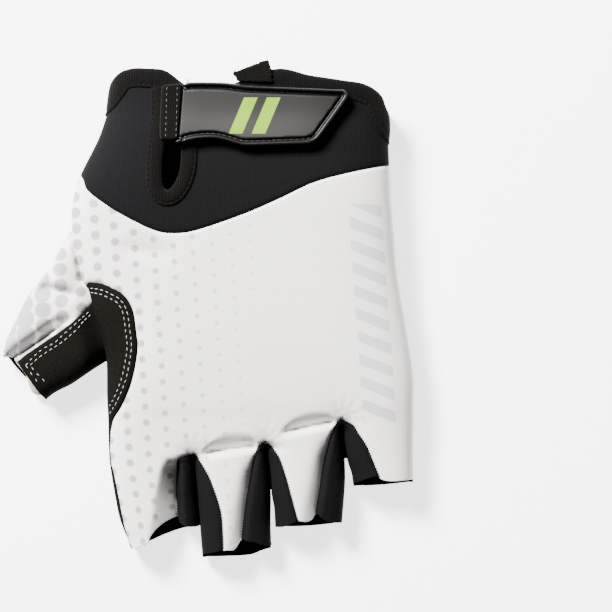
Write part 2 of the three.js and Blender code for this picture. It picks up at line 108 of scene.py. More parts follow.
notches = {
    "index_middle": [
        (-0.0937, -0.56), (-0.0937, -0.4271), (-0.098, -0.3799), (-0.0964, -0.3322), (-0.0937, -0.3115),
        (-0.085, -0.3047), (-0.0437, -0.2982), (-0.0231, -0.3142), (0.0052, -0.347), (0.0194, -0.3709),
        (0.0336, -0.399), (0.0425, -0.425), (0.0459, -0.4579), (0.0478, -0.4957), (0.0478, -0.56),
    ],
    "middle_ring": [
        (0.098, -0.56), (0.102, -0.495), (0.1041, -0.4733), (0.1149, -0.4107), (0.1254, -0.3661),
        (0.1325, -0.3378), (0.1396, -0.3094), (0.154, -0.2834), (0.175, -0.2741), (0.1962, -0.2834),
        (0.2175, -0.3025), (0.2317, -0.3259), (0.2458, -0.3567), (0.26, -0.392), (0.269, -0.415),
        (0.277, -0.4343), (0.28, -0.445), (0.3, -0.56),
    ],
    "ring_little": [
        (0.3, -0.56), (0.329, -0.43), (0.3327, -0.416), (0.344, -0.37), (0.3543, -0.3244), (0.366, -0.2895),
        (0.3771, -0.2608), (0.395, -0.235), (0.409, -0.227), (0.424, -0.23), (0.4486, -0.2402),
        (0.4621, -0.2546), (0.4898, -0.2834), (0.5114, -0.3183), (0.5311, -0.3483), (0.537, -0.36),
        (0.545, -0.39), (0.56, -0.56),
    ],
}
# The mouths of the fingers, one short line each, left to right
backMouths = {
    "index": [
        (-0.3, -0.49), (-0.236, -0.4918), (-0.2274, -0.4936), (-0.2104, -0.4879), (-0.1848, -0.4805),
        (-0.1774, -0.469), (-0.1617, -0.4538), (-0.1392, -0.4405), (-0.1165, -0.432), (-0.0937, -0.4271),
        (-0.0909, -0.4368), (-0.0678, -0.4462), (-0.0275, -0.447), (-0.025, -0.447),
    ],
    "middle": [
        (-0.025, -0.508), (-0.0092, -0.5039), (0.0478, -0.4957), (0.0653, -0.4953), (0.0832, -0.4932),
        (0.1041, -0.4733), (0.122, -0.4768), (0.1466, -0.4793), (0.1679, -0.484), (0.2, -0.4887),
    ],
    "ring": [
        (0.2, -0.4485), (0.234, -0.4466), (0.2634, -0.439), (0.2813, -0.4343), (0.295, -0.4367),
        (0.3164, -0.4343), (0.3306, -0.4226), (0.3358, -0.4168), (0.3466, -0.4271), (0.3743, -0.4374),
        (0.428, -0.4394),
    ],
    "little": [
        (0.43, -0.36), (0.4458, -0.3573), (0.5176, -0.343), (0.5311, -0.3483), (0.5576, -0.3528),
        (0.5853, -0.3528), (0.645, -0.349),
    ],
}
palmMouths = {
    "index": [(-0.3, -0.496), (-0.236, -0.4935), (-0.1818, -0.4795), (-0.1334, -0.4651), (-0.0792, -0.4528),
              (-0.025, -0.4475)],
    "middle": [(-0.025, -0.5125), (0.0524, -0.5113), (0.1254, -0.5086), (0.16, -0.501), (0.2, -0.4915)],
    "ring": [(0.2, -0.45), (0.3, -0.449), (0.38, -0.444), (0.428, -0.44)],
    "little": [(0.43, -0.366), (0.53, -0.364), (0.645, -0.356)],
}
thumbMouth = [
    (-0.66, -0.069), (-0.6368, -0.0871), (-0.6211, -0.097), (-0.6007, -0.102), (-0.5856, -0.1092),
    (-0.5681, -0.127), (-0.555, -0.1385), (-0.543, -0.15), (-0.5228, -0.169), (-0.5012, -0.1864),
    (-0.485, -0.205),
]
thumbLip = [
    (-0.66, -0.068), (-0.6368, -0.0871), (-0.6225, -0.1), (-0.5985, -0.1195), (-0.572, -0.1395),
    (-0.556, -0.142), (-0.54, -0.153), (-0.5228, -0.169), (-0.5012, -0.1864), (-0.485, -0.205),
]

# Height of the back along the glove: y as a share of gloveLength, height as a share of handHeight
handHeights = [
    (-0.6, 0.57), (-0.5, 0.6), (-0.38, 0.655), (-0.29, 0.69), (-0.23, 0.745), (-0.18, 0.815), (-0.08, 0.9),
    (0.01, 0.94), (0.09, 0.96), (0.16, 0.98), (0.215, 1.0), (0.275, 1.0), (0.355, 0.96), (0.43, 0.88),
    (0.6, 0.8),
]

# Folds pressed into the back, each along a line. The depth and the reach of the flanks are in mm.
# Looking along the line, left and right are its flanks, and a reach may differ at its two ends.
handFolds = [
    {"line": [(-0.09, -0.303), (-0.0964, -0.3322), (-0.098, -0.3799), (-0.0937, -0.4271), (-0.0937, -0.47)],
     "depth": 7.6, "left": (1.8, 2.4), "right": (4.8, 10.4), "ends": (0.2, 0.0), "power": 1.2},
    {"line": [(0.154, -0.2834), (0.1325, -0.3378), (0.1149, -0.4107), (0.1041, -0.4733), (0.1, -0.5)],
     "depth": 3.2, "left": (0.7, 0.9), "right": (2.2, 3.0), "ends": (0.35, 0.0)},
    {"line": [(0.385, -0.246), (0.366, -0.2895), (0.3543, -0.3244), (0.344, -0.37), (0.3327, -0.416),
              (0.326, -0.45)],
     "depth": 3.4, "left": (0.7, 0.9), "right": (2.2, 3.4), "ends": (0.35, 0.0)},
    {"line": [(-0.024, -0.296), (0.01, -0.2925), (0.048, -0.2893), (0.1, -0.285), (0.1355, -0.2825),
              (0.158, -0.285)],
     "depth": 4.2, "left": (5.6, 6.2), "right": (2.6, 2.2), "ends": (0.22, 0.14), "power": 1.45,
     "lens": True},
    {"line": [(0.2126, -0.2567), (0.2526, -0.2485), (0.299, -0.2423), (0.345, -0.236), (0.394, -0.228)],
     "depth": 3.9, "left": (4.4, 5.6), "right": (2.6, 2.2), "ends": (0.36, 0.12), "power": 1.45,
     "lens": True},
    {"line": [(0.184, -0.282), (0.212, -0.2854), (0.25, -0.292)],
     "depth": 1.0, "left": (1.2, 1.0), "right": (1.2, 1.0), "ends": (0.1, 0.6)},
    {"line": [(-0.3, 0.135), (-0.22, 0.121), (-0.14, 0.115), (-0.08, 0.12)],
     "depth": 1.3, "left": (3.4, 3.4), "right": (3.6, 3.6), "ends": (0.4, 0.4)},
]
thumbFolds = [
    {"line": [(-0.613, -0.108), (-0.564, -0.0865), (-0.52, -0.067), (-0.485, -0.049), (-0.444, -0.031),
              (-0.4, -0.01)],
     "depth": 7.6, "left": (5.0, 4.4), "right": (1.0, 1.3), "ends": (0.02, 0.42), "power": 1.6},
    {"line": [(-0.57, 0.042), (-0.5, 0.042), (-0.44, 0.031), (-0.37, 0.023)],
     "depth": 4.4, "left": (3.4, 3.4), "right": (3.8, 3.8), "ends": (0.4, 0.45), "power": 1.6},
]


def place(table):
    return np.array(table, float) * [glove["handWidth"], glove["gloveLength"]]


def roundedLine(points, cut, spacing):
    # A closed outline with straight sides, its corners rounded over a short length
    out = []
    for i, corner in enumerate(points):
        before, after = points[i - 1] - corner, points[(i + 1) % len(points)] - corner
        first = corner + before * min(0.45, cut / np.hypot(*before))
        last = corner + after * min(0.45, cut / np.hypot(*after))
        for t in (0, 0.25, 0.5, 0.75, 1):
            out.append(first * (1 - t) ** 2 + corner * 2 * t * (1 - t) + last * t * t)
    return resample(np.array(out), spacing, closed=True)


def resample(points, spacing, closed=False):
    if closed:
        points = np.vstack([points, points[:1]])
    steps = np.hypot(*np.diff(points, axis=0).T)
    along = np.concatenate([[0], np.cumsum(steps)])
    count = max(int(round(along[-1] / spacing)), 2)
    at = np.linspace(0, along[-1], count + 1)
    out = np.column_stack([np.interp(at, along, points[:, k]) for k in range(points.shape[1])])
    return out[:-1] if closed else out


def smoothLine(points, spacing=0.8, closed=False):
    # A Catmull-Rom curve through the points, then even steps along it
    if closed:
        padded = np.vstack([points[-1:], points, points[:2]])
    else:
        padded = np.vstack([points[:1], points, points[-1:]])
    t = np.linspace(0, 1, 14, endpoint=False)[:, None]
    parts = []
    for a, b, c, d in zip(padded[:-3], padded[1:-2], padded[2:-1], padded[3:]):
        parts.append(0.5 * ((2 * b) + (c - a) * t + (2 * a - 5 * b + 4 * c - d) * t ** 2
                            + (3 * b - a - 3 * c + d) * t ** 3))
    if not closed:
        parts.append(points[-1:])
    return resample(np.vstack(parts), spacing, closed)


def treeOf(points):
    tree = kdtree.KDTree(len(points))
    for i, (x, y) in enumerate(points):
        tree.insert((x, y, 0), i)
    tree.balance()
    return tree


class Line:
    # A line in plan that can say how far points are from it
    def __init__(self, points, closed=False):
        self.closed = closed
        self.points = np.asarray(points, float)
        ends = np.vstack([self.points, self.points[:1]]) if closed else self.points
        self.start, self.step = ends[:-1], np.diff(ends, axis=0)
        self.length = np.maximum(np.hypot(*self.step.T), 1e-9)
        self.along = np.concatenate([[0], np.cumsum(self.length)])
        self.tree = treeOf(self.start + self.step / 2)
        self.total = self.along[-1]

    def nearest(self, xy):
        # Distance, signed side (left is positive), foot, unit tangent and place along the line
        best = np.full(len(xy), 1e9)
        foot = np.zeros((len(xy), 2))
        seg = np.zeros(len(xy), int)
        found = np.array([[hit[1] for hit in self.tree.find_n((x, y, 0), 3)] for x, y in xy])
        share = np.zeros(len(xy))
        for k in range(found.shape[1]):
            i = found[:, k]
            u = np.clip(((xy - self.start[i]) * self.step[i]).sum(1) / self.length[i] ** 2, 0, 1)
            point = self.start[i] + self.step[i] * u[:, None]
            d = np.hypot(*(xy - point).T)
            closer = d < best
            best[closer], seg[closer], share[closer] = d[closer], i[closer], u[closer]
            foot[closer] = point[closer]
        tangent = self.step[seg] / self.length[seg][:, None]
        side = tangent[:, 0] * (xy - foot)[:, 1] - tangent[:, 1] * (xy - foot)[:, 0]
        return best, np.sign(side), foot, tangent, self.along[seg] + share * self.length[seg]


def inside(xy, polygon):
    x, y = xy[:, 0][:, None], xy[:, 1][:, None]
    a, b = polygon, np.roll(polygon, -1, axis=0)
    crosses = (a[:, 1] > y) != (b[:, 1] > y)
    with np.errstate(divide="ignore", invalid="ignore"):
        at = (b[:, 0] - a[:, 0]) * (y - a[:, 1]) / (b[:, 1] - a[:, 1]) + a[:, 0]
    return (crosses & (x < at)).sum(1) % 2 == 1


def arch(q, power=None):
    power = power or glove["archPower"]
    return (1 - (1 - np.clip(q, 0, 1)) ** power) ** (1 / power)


def softStep(x, low, high):
    t = np.clip((x - low) / (high - low), 0, 1)
    return t * t * (3 - 2 * t)


def lineOf(table, step=0.8, closed=False):
    return Line(smoothLine(place(table), step, closed), closed)


handLine = lineOf(handOutline, 0.7, closed=True)
thumbLine = lineOf(thumbOutline, closed=True)
cuffLine, seamLine, rootLine = lineOf(cuffEdge), lineOf(wristSeam), lineOf(thumbRoot)
thumbSeamLine, patchLine, slitCurve = lineOf(thumbSeam), lineOf(patchEdge), lineOf(slitLine, 0.6)
notchLines = {name: lineOf(table, 0.7) for name, table in notches.items()}
backMouthLines = {name: lineOf(table, 0.7) for name, table in backMouths.items()}
palmMouthLines = {name: lineOf(table) for name, table in palmMouths.items()}
thumbMouthLine, thumbLipLine = (Line(resample(place(table), 0.8)) for table in (thumbMouth, thumbLip))
heightTable = smoothLine(np.array(handHeights) * [glove["gloveLength"], glove["handHeight"]], 0.5)
foldLines = [(lineOf(fold["line"]), fold) for fold in handFolds]
thumbFoldLines = [(lineOf(fold["line"]), fold) for fold in thumbFolds]
print("outlines laid out")


def leftward(tangent):
    return np.column_stack([-tangent[:, 1], tangent[:, 0]])


def nearestOf(points, lines):
    return np.min([line.nearest(points)[0] for line in lines], axis=0)


def sideways(points, away):
    # The line moved to its left by a distance
    tangent = np.gradient(points, axis=0)
    tangent /= np.maximum(np.linalg.norm(tangent, axis=1, keepdims=True), 1e-9)
    return points + leftward(tangent) * away


def foldDepth(xy, folds):
    total = np.zeros(len(xy))
    for line, fold in folds:
        dist, side, _, _, along = line.nearest(xy)
        share = along / line.total
        left = fold["left"][0] * (1 - share) + fold["left"][1] * share
        right = fold["right"][0] * (1 - share) + fold["right"][1] * share
        if fold.get("lens"):
            # Narrow at both ends, widest a little past the middle
            left *= 0.12 + 0.88 * np.sin(math.pi * np.clip(share, 0, 1) ** 1.15) ** 0.7
        q = dist / np.where(side > 0, left, right)
        first, last = fold["ends"]
        taper = softStep(share, -0.01, first) * softStep(1 - share, -0.01, last)
        power = fold.get("power")
        profile = np.clip(1 - q, 0, 1) ** power if power else np.exp(-q ** 1.6)
        total += fold["depth"] * taper * profile
    return total


def pucker(xy, apex, reach, waves, size):
    # Small gathers that fan out from a point, such as the end of a seam
    rel = xy - np.array(apex)
    r = np.hypot(*rel.T)
    angle = np.arctan2(rel[:, 1], rel[:, 0])
    return size * np.sin(angle * waves) * np.exp(-(r / reach) ** 2) * softStep(r, 0.3, 2.0)


notchTips = [place([tip])[0] for tip in [(-0.0437, -0.2982), (0.175, -0.2741), (0.4082, -0.2248)]]


def handTop(xy):
    dist = handLine.nearest(xy)[0]
    height = np.interp(xy[:, 1], heightTable[:, 0], heightTable[:, 1])
    waist = height * glove["waistShare"]
    toFinger = softStep(-xy[:, 1] / glove["gloveLength"], *glove["fingersFrom"])
    reach = glove["handReach"] * (1 - toFinger) + glove["fingerReach"] * toFinger
    lift = arch(dist / reach)
    z = waist + (height - waist) * lift
    z -= foldDepth(xy, foldLines) * np.clip(dist / glove["foldEdge"], 0, 1)
    for tip in notchTips:
        z += pucker(xy, tip, glove["puckerReach"], glove["puckerWaves"], glove["puckerSize"])
    return z


def thumbTop(xy):
    dist = thumbLine.nearest(xy)[0]
    height = glove["thumbHeight"] * (thumb["least"] + thumb["rise"] * softStep(xy[:, 0], *thumb["riseAt"]))
    waist = height * glove["waistShare"]
    z = waist + (height - waist) * arch(dist / glove["thumbReach"])
    z -= foldDepth(xy, thumbFoldLines) * np.clip(dist / glove["foldEdge"], 0, 1)
    away = handLine.nearest(xy)[0]
    away = np.where(inside(xy, handLine.points), -away, away)
    tucked = thumb["tuck"] * (1 - softStep(away, *thumb["tuckReach"]))
    abovePatch = softStep(xy[:, 1] / glove["gloveLength"], *thumb["rootFrom"])
    tucked += thumb["rootTuck"] * (1 - softStep(away, *thumb["rootReach"])) * abovePatch
    return np.maximum(z - tucked, glove["seamHeight"] + thumb["clear"])


def planPoints(outline, lines, step, edgeRows=(0.07, 0.25, 0.6, 1.2, 2.0), seamRows=(0.3, 0.75, 1.4)):
    # Points for a plan: rows beside the edge and the seams, then an even fill between them
    rows = []
    for row, d in enumerate(edgeRows):
        edge = outline.points if row > 1 else resample(outline.points, step * 0.8, True)
        away = leftward(outline.nearest(edge)[3]) * d
        rows += [edge + away, edge - away]
    for line in lines:
        normal = leftward(line.nearest(line.points)[3])
        for d in seamRows:
            rows += [line.points + normal * d, line.points - normal * d]
    low, high = outline.points.min(0), outline.points.max(0)
    xs = np.arange(low[0], high[0], step)
    ys = np.arange(low[1], high[1], step * 0.866)
    grid = np.array([(x + (j % 2) * step / 2, y) for j, y in enumerate(ys) for x in xs])
    kept = []
    for points, clear in ((np.vstack(rows), 0.055), (grid, step * 0.45)):
        points = points[inside(points, outline.points)]
        kept.append(points[nearestOf(points, [outline] + lines) > clear])
    # Points that crowd each other are thinned out
    points = np.vstack(kept)
    tree = treeOf(points)
    clear = np.clip(nearestOf(points, [outline] + lines) * 0.45, 0.05, step * 0.55)
    gone = np.zeros(len(points), bool)
    for i, (x, y) in enumerate(points):
        if gone[i]:
            continue
        for _, j, _ in tree.find_range((x, y, 0), clear[i]):
            if j > i:
                gone[j] = True
    return points[~gone]


def planMesh(outline, lines, points):
    verts, edges = [], []
    for line in [outline] + lines:
        first = len(verts)
        verts += [Vector((x, y)) for x, y in line.points]
        count = len(line.points)
        edges += [(first + i, first + i + 1) for i in range(count - 1)]
        if line.closed:
            edges.append((first + count - 1, first))
    verts += [Vector((x, y)) for x, y in points]
    made = geometry.delaunay_2d_cdt(verts, edges, [], 0, 1e-5)
    xy = np.array([(v.x, v.y) for v in made[0]])
    tris = np.array([f for f in made[2] if len(f) == 3])
    return xy, tris, xy[tris].mean(1)


def layPlan(outline, lines, step, **rows):
    # Points, triangles and the triangles' centres
    return planMesh(outline, lines, planPoints(outline, lines, step, **rows))


def upright(xy, tris):
    # The points in use and the triangles over them, all turned to face up
    used, index = np.unique(tris, return_inverse=True)
    flat, faces = xy[used], index.reshape(tris.shape)
    a, b, c = (flat[faces[:, k]] for k in range(3))
    turn = (b - a)[:, 0] * (c - a)[:, 1] - (b - a)[:, 1] * (c - a)[:, 0]
    faces[turn < 0] = faces[turn < 0][:, ::-1]
    return flat, faces


def openEdges(faces):
    edges = {(f[i], f[(i + 1) % 3]): None for f in faces for i in range(3)}
    return [(a, b) for a, b in edges if (b, a) not in edges]


def newObject(name, data):
    obj = bpy.data.objects.new(name, data)
    bpy.context.scene.collection.objects.link(obj)
    return obj


def makeObject(name, verts, faces, material):
    mesh = bpy.data.meshes.new(name)
    faces = [tuple(int(i) for i in f) for f in faces]
    mesh.from_pydata([tuple(v) for v in np.asarray(verts) * mm], [], faces)
    mesh.validate()
    mesh.polygons.foreach_set("use_smooth", [True] * len(mesh.polygons))
    mesh.materials.append(material)
    return newObject(name, mesh)


def sideInset(drop):
    # How far the side wall has turned in at a share of the way from the waist to the ground
    power = glove["skirtPower"]
    return glove["skirtTurn"] * (1 - (1 - np.clip(drop, 0, 1) ** power) ** (1 / power))


def panelFromPlan(xy, tris, zAt, outline, skirtTo=None, flip=False):
    # One panel: its triangles lifted to their height, with a side wall below the widest line
    flat, tris = upright(xy, tris)
    z = zAt(flat)
    verts = list(np.column_stack([flat, z]))
    faces = [tuple(f) for f in tris]
    if skirtTo is not None:
        dist, _, foot, tangent, _ = outline.nearest(flat)
        rim = [e for e in openEdges(faces) if max(dist[e[0]], dist[e[1]]) < glove["onEdge"]]
        normal = leftward(tangent)
        if not inside(foot[:1] + normal[:1] * 0.05, outline.points)[0]:
            normal = -normal
        rows, columns = glove["skirtRows"], {}
        for v in sorted({v for e in rim for v in e}):
            top = z[v]
            columns[v] = [v]
            for r in range(1, rows + 1):
                height = top + (skirtTo - top) * r / rows
                turnIn = sideInset((top - height) / max(top, 1e-6))
                verts.append((*(flat[v] + normal[v] * turnIn), height))
                columns[v].append(len(verts) - 1)
        for v0, v1 in rim:
            for r in range(rows):
                faces.append((columns[v1][r], columns[v0][r], columns[v0][r + 1], columns[v1][r + 1]))
    return np.array(verts), [f[::-1] for f in faces] if flip else faces


def finishPiece(obj, node):
    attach(obj, "root")
    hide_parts(node)


def sewPanel(name, node, slot, *plan, **how):
    # A panel of cloth: its thickness goes inward from the surface
    verts, faces = panelFromPlan(*plan, **how)
    piece = makeObject(name, verts, faces, materials[slot])
    wall = piece.modifiers.new("Wall", "SOLIDIFY")
    wall.thickness, wall.offset, wall.use_even_offset = glove["wall"] * mm, -1, False
    finishPiece(piece, node)
    print(name, len(faces), "faces")


class Shading:
    # A short way to write a node tree
    def __init__(self, tree):
        self.tree = tree

    def add(self, kind, inputs=None, **settings):
        node = self.tree.nodes.new(kind)
        for key, value in settings.items():
            setattr(node, key, value)
        for key, value in (inputs or {}).items():
            self.put(node.inputs[key], value)
        return node

    def put(self, socket, value):
        if isinstance(value, bpy.types.NodeSocket):
            self.tree.links.new(value, socket)
        else:
            socket.default_value = value

    def sum(self, operation, *values):
        node = self.add("ShaderNodeMath", operation=operation)
        for socket, value in zip(node.inputs, values):
            self.put(socket, value)
        return node.outputs[0]

    def plus(self, first, second):
        return self.sum("ADD", first, second)

    def minus(self, first, second):
        return self.sum("SUBTRACT", first, second)

    def times(self, first, second):
        return self.sum("MULTIPLY", first, second)

    def group(self, nodes, inputs=None):
        return self.add("ShaderNodeGroup", inputs, node_tree=nodes).outputs

    def step(self, value, low, high, smooth=True):
        # 0 below low, 1 above high
        kind = "SMOOTHSTEP" if smooth else "LINEAR"
        node = self.add("ShaderNodeMapRange", interpolation_type=kind)
        for name, given in (("Value", value), ("From Min", low), ("From Max", high)):
            self.put(node.inputs[name], given)
        return node.outputs["Result"]


def newGroup(name, inputs, outputs):
    group = bpy.data.node_groups.new(name, "ShaderNodeTree")
    for labels, way in ((inputs, "INPUT"), (outputs, "OUTPUT")):
        for label in labels:
            kind = "NodeSocketVector" if label == "Place" else "NodeSocketFloat"
            group.interface.new_socket(label, in_out=way, socket_type=kind)
    s = Shading(group)
    return group, s, s.add("NodeGroupInput").outputs, s.add("NodeGroupOutput").inputs


def placeGroup():
    # Where a point lies on the glove, in millimetres
    group, s, _, out = newGroup("PlaceInMillimetres", [], ["Place", "X", "Y", "Z"])
    scaled = s.add("ShaderNodeVectorMath", operation="SCALE")
    s.put(scaled.inputs[0], s.add("ShaderNodeTexCoord").outputs["Object"])
    s.put(scaled.inputs["Scale"], 1000.0)
    parts = s.add("ShaderNodeSeparateXYZ", {"Vector": scaled.outputs[0]})
    s.put(out["Place"], scaled.outputs[0])
    for axis in "XYZ":
        s.put(out[axis], parts.outputs[axis])
    return group


def knitGroup():
    # Fine ribs with a little unevenness: pitch in mm, Across 1 runs them up the glove
    group, s, given, out = newGroup("Knit", ["Pitch", "Across", "Stitch"], ["Height"])
    spot = s.group(placeNodes)
    noise = s.add("ShaderNodeTexNoise", {"Vector": spot["Place"], "Scale": 0.55, "Detail": 2.0})
    wobble = s.times(s.minus(noise.outputs["Fac"], 0.5), 0.9)
    along, other = (
        s.add("ShaderNodeMix", {"Factor": given["Across"], 2: spot[first], 3: spot[last]}).outputs[0]
        for first, last in ("YX", "XY"))
    turns = s.sum("DIVIDE", s.plus(along, wobble), given["Pitch"])
    rib = s.sum("SINE", s.times(turns, 2 * math.pi))
    small = s.sum("SINE", s.times(s.sum("DIVIDE", other, given["Stitch"]), 2 * math.pi))
    s.put(out["Height"], s.plus(s.times(rib, 0.5), s.times(small, 0.18)))
    return group


def napGroup():
    # Short nap and pores, for suede, felt and elastic
    group, s, given, out = newGroup("Nap", ["Grain"], ["Height", "Patches"])
    spot = s.group(placeNodes)["Place"]
    fine = {"Vector": spot, "Scale": given["Grain"], "Detail": 4.0, "Roughness": 0.7}
    s.put(out["Height"], s.add("ShaderNodeTexNoise", fine).outputs["Fac"])
    broad = {"Vector": spot, "Scale": 0.16, "Detail": 3.0}
    s.put(out["Patches"], s.add("ShaderNodeTexNoise", broad).outputs["Fac"])
    return group


# The print: rows of dots that shrink away from the thumb, and a row of slanted bars
dotPrint = {
    "columnPitch": 6.624, "rowPitch": 5.451, "columnShift": 23.44, "rowShift": 27.76, "tilt": 0.0635,
    "radius": 0.72, "radiusAt": 1.7, "growLeft": 0.021, "growThumb": 0.066, "thumbFrom": -42.0,
    "shrinkRight": 0.0135, "soft": 0.4, "softThumb": 0.012, "fade": (42.0, -25.0),
    "lean": 0.14, "leanFrom": -53.1, "leanX": (-14.0, -26.0),
    "barsX": (53.5, 64.9), "barsY": (-39.3, 35.9), "barPitch": 7.6, "barShare": 0.5, "barSlant": 0.4,
    "barLean": 0.07, "barSoft": 0.035, "barEdge": 0.3,
}


def printGroup():
    d = dotPrint
    group, s, _, out = newGroup("DotPrint", [], ["Dots", "Bars"])
    spot = s.group(placeNodes)
    x, y = spot["X"], spot["Y"]
    below = s.sum("MAXIMUM", s.minus(d["leanFrom"], y), 0.0)
    lean = s.times(s.times(below, s.step(x, *d["leanX"], smooth=False)), d["lean"])
    turned = s.plus(s.minus(x, lean), s.times(y, d["tilt"]))
    column = s.sum("DIVIDE", s.plus(turned, d["columnShift"]), d["columnPitch"])
    columnAt = s.sum("ROUND", column)
    dx = s.times(s.minus(column, columnAt), d["columnPitch"])
    odd = s.sum("FLOORED_MODULO", columnAt, 2.0)
    turned = s.minus(s.times(x, d["tilt"]), y)
    row = s.sum("DIVIDE", s.plus(turned, d["rowShift"]), d["rowPitch"])
    row = s.plus(row, s.times(odd, 0.5))
    dy = s.times(s.minus(row, s.sum("ROUND", row)), d["rowPitch"])
    away = s.sum("SQRT", s.plus(s.times(dx, dx), s.times(dy, dy)))
    toLeft = s.sum("MAXIMUM", s.minus(d["radiusAt"], x), 0.0)
    onThumb = s.sum("MAXIMUM", s.minus(d["thumbFrom"], x), 0.0)
    toRight = s.sum("MAXIMUM", s.minus(x, d["radiusAt"]), 0.0)
    radius = s.plus(s.times(toLeft, d["growLeft"]), s.times(onThumb, d["growThumb"]))
    radius = s.plus(radius, s.minus(d["radius"], s.times(toRight, d["shrinkRight"])))
    soft = s.plus(d["soft"], s.times(onThumb, d["softThumb"]))
    dots = s.step(away, s.plus(radius, soft), s.minus(radius, soft))
    s.put(out["Dots"], s.times(dots, s.step(x, *d["fade"], smooth=False)))
    bar = s.sum("FRACT", s.sum("DIVIDE", s.plus(y, s.times(x, d["barSlant"])), d["barPitch"]))
    half, soft, edge = d["barShare"] / 2, d["barSoft"], d["barEdge"]
    stripe = s.step(s.sum("ABSOLUTE", s.minus(bar, 0.5)), half + soft, half - soft)
    leaning = s.plus(x, s.times(s.minus(y, d["barsY"][0]), d["barLean"]))
    for value, (low, high) in ((leaning, d["barsX"]), (y, d["barsY"])):
        stripe = s.times(stripe, s.step(value, low - edge, low + edge))
        stripe = s.times(stripe, s.step(value, high + edge, high - edge))
    s.put(out["Bars"], stripe)
    return group


placeNodes = placeGroup()
knitNodes = knitGroup()
napNodes = napGroup()
printNodes = printGroup()


def startMaterial(name, roughness, specular):
    material = bpy.data.materials.new(name)
    material.use_nodes = True
    shader = material.node_tree.nodes["Principled BSDF"]
    shader.inputs["Roughness"].default_value = roughness
    shader.inputs["Specular IOR Level"].default_value = specular
    return material, Shading(material.node_tree), shader


def dress(s, shader, color, height, strength, distance):
    # Colour and bump go into the shader
    bump = s.add("ShaderNodeBump", {"Height": height, "Strength": strength, "Distance": distance * mm})
    s.put(shader.inputs["Normal"], bump.outputs["Normal"])
    s.put(shader.inputs["Base Color"], color)


def colorMix(s, factor, first, second):
    node = s.add("ShaderNodeMix", {"Factor": factor}, data_type="RGBA")
    s.put(node.inputs[6], (*first, 1) if isinstance(first, tuple) else first)
    s.put(node.inputs[7], (*second, 1) if isinstance(second, tuple) else second)
    return node.outputs[2]


def makeWhiteCloth():
    # The between colour is painted shade: a grey mixed into the valleys between the knit's ribs
    look = {
        "cloth": (0.8, 0.768, 0.732), "dot": (0.315, 0.29, 0.298), "bar": (0.46, 0.44, 0.455),
        "barShare": 0.75, "between": (0.45, 0.43, 0.42), "ribShadeShare": 0.3,
    }
    material, s, shader = startMaterial("WhiteCloth", 0.85, 0.2)
    prints = s.group(printNodes)
    color = colorMix(s, prints["Dots"], look["cloth"], look["dot"])
    color = colorMix(s, s.times(prints["Bars"], look["barShare"]), color, look["bar"])
    knit = s.group(knitNodes, {"Pitch": 0.8, "Across": 0.0, "Stitch": 0.62})["Height"]
    # Painted shade: the knit's low valleys between the ribs are mixed toward grey
    between = s.times(s.minus(1.0, s.step(knit, -0.7, 0.5)), look["ribShadeShare"])
    dress(s, shader, colorMix(s, between, color, look["between"]), knit, 0.25, 0.08)
    return material


def makeBlackCloth():
    material, s, shader = startMaterial("BlackCloth", 0.85, 0.05)
    knit = s.group(knitNodes, {"Pitch": 0.62, "Across": 1.0, "Stitch": 0.55})["Height"]
    color = colorMix(s, s.step(knit, -0.6, 0.6), (0.0019, 0.0018, 0.002), (0.0046, 0.0042, 0.0047))
    dress(s, shader, color, knit, 0.5, 0.1)
    return material


def makeSuede():
    material, s, shader = startMaterial("Suede", 0.95, 0.03)
    nap = s.group(napNodes, {"Grain": 2.6})
    color = colorMix(s, s.step(nap["Height"], 0.35, 0.68), (0.0012, 0.001, 0.0008), (0.007, 0.006, 0.0048))
    color = colorMix(s, s.step(nap["Patches"], 0.4, 0.66), color, (0.0038, 0.0032, 0.0026))
    dress(s, shader, color, nap["Height"], 0.55, 0.22)
    return material


def makeBinding():
    material, s, shader = startMaterial("Binding", 0.95, 0.04)
    shader.inputs["Sheen Weight"].default_value = 0.02
    knit = s.group(knitNodes, {"Pitch": 0.8, "Across": 1.0, "Stitch": 0.7})["Height"]
    height = s.plus(s.times(knit, 0.35), s.group(napNodes, {"Grain": 3.4})["Height"])
    color = colorMix(s, s.step(height, 0.2, 0.9), (0.0009, 0.0008, 0.0007), (0.0048, 0.0041, 0.0036))
    dress(s, shader, color, height, 0.7, 0.25)
    return material


def makePile():
    material, s, shader = startMaterial("Pile", 1.0, 0.05)
    nap = s.group(napNodes, {"Grain": 4.5})["Height"]
    color = colorMix(s, s.step(nap, 0.4, 0.65), (0.0014, 0.0013, 0.0012), (0.009, 0.008, 0.0072))
    dress(s, shader, color, nap, 1.0, 0.5)
    return material


# The strap: satin panel with a painted highlight that makes it lighter toward its lower middle, glossier rim,
# and two plain slanted bars of colour
strapLook = {
    # The panel's second colour is a painted highlight: the panel gets lighter toward its lower edge and its
    # middle
    "panel": (0.0088, 0.008, 0.0072), "panelHighlight": (0.021, 0.019, 0.0172), "highlightY": (71.0, 58.0),
    "lowX": (34.0, 4.0), "rim": (0.0042, 0.004, 0.004), "rimTo": (1.5, 1.25), "groove": (0.001, 0.001, 0.001),
    "panelFrom": (2.35, 2.65), "bar": (0.135, 0.265, 0.0004), "barCentre": (16.3, 66.0),
    "barHalf": (2.3, 6.2), "barGap": 3.9, "barSoft": 0.12, "slant": 0.42, "rough": 0.38, "panelRough": 0.1,
}


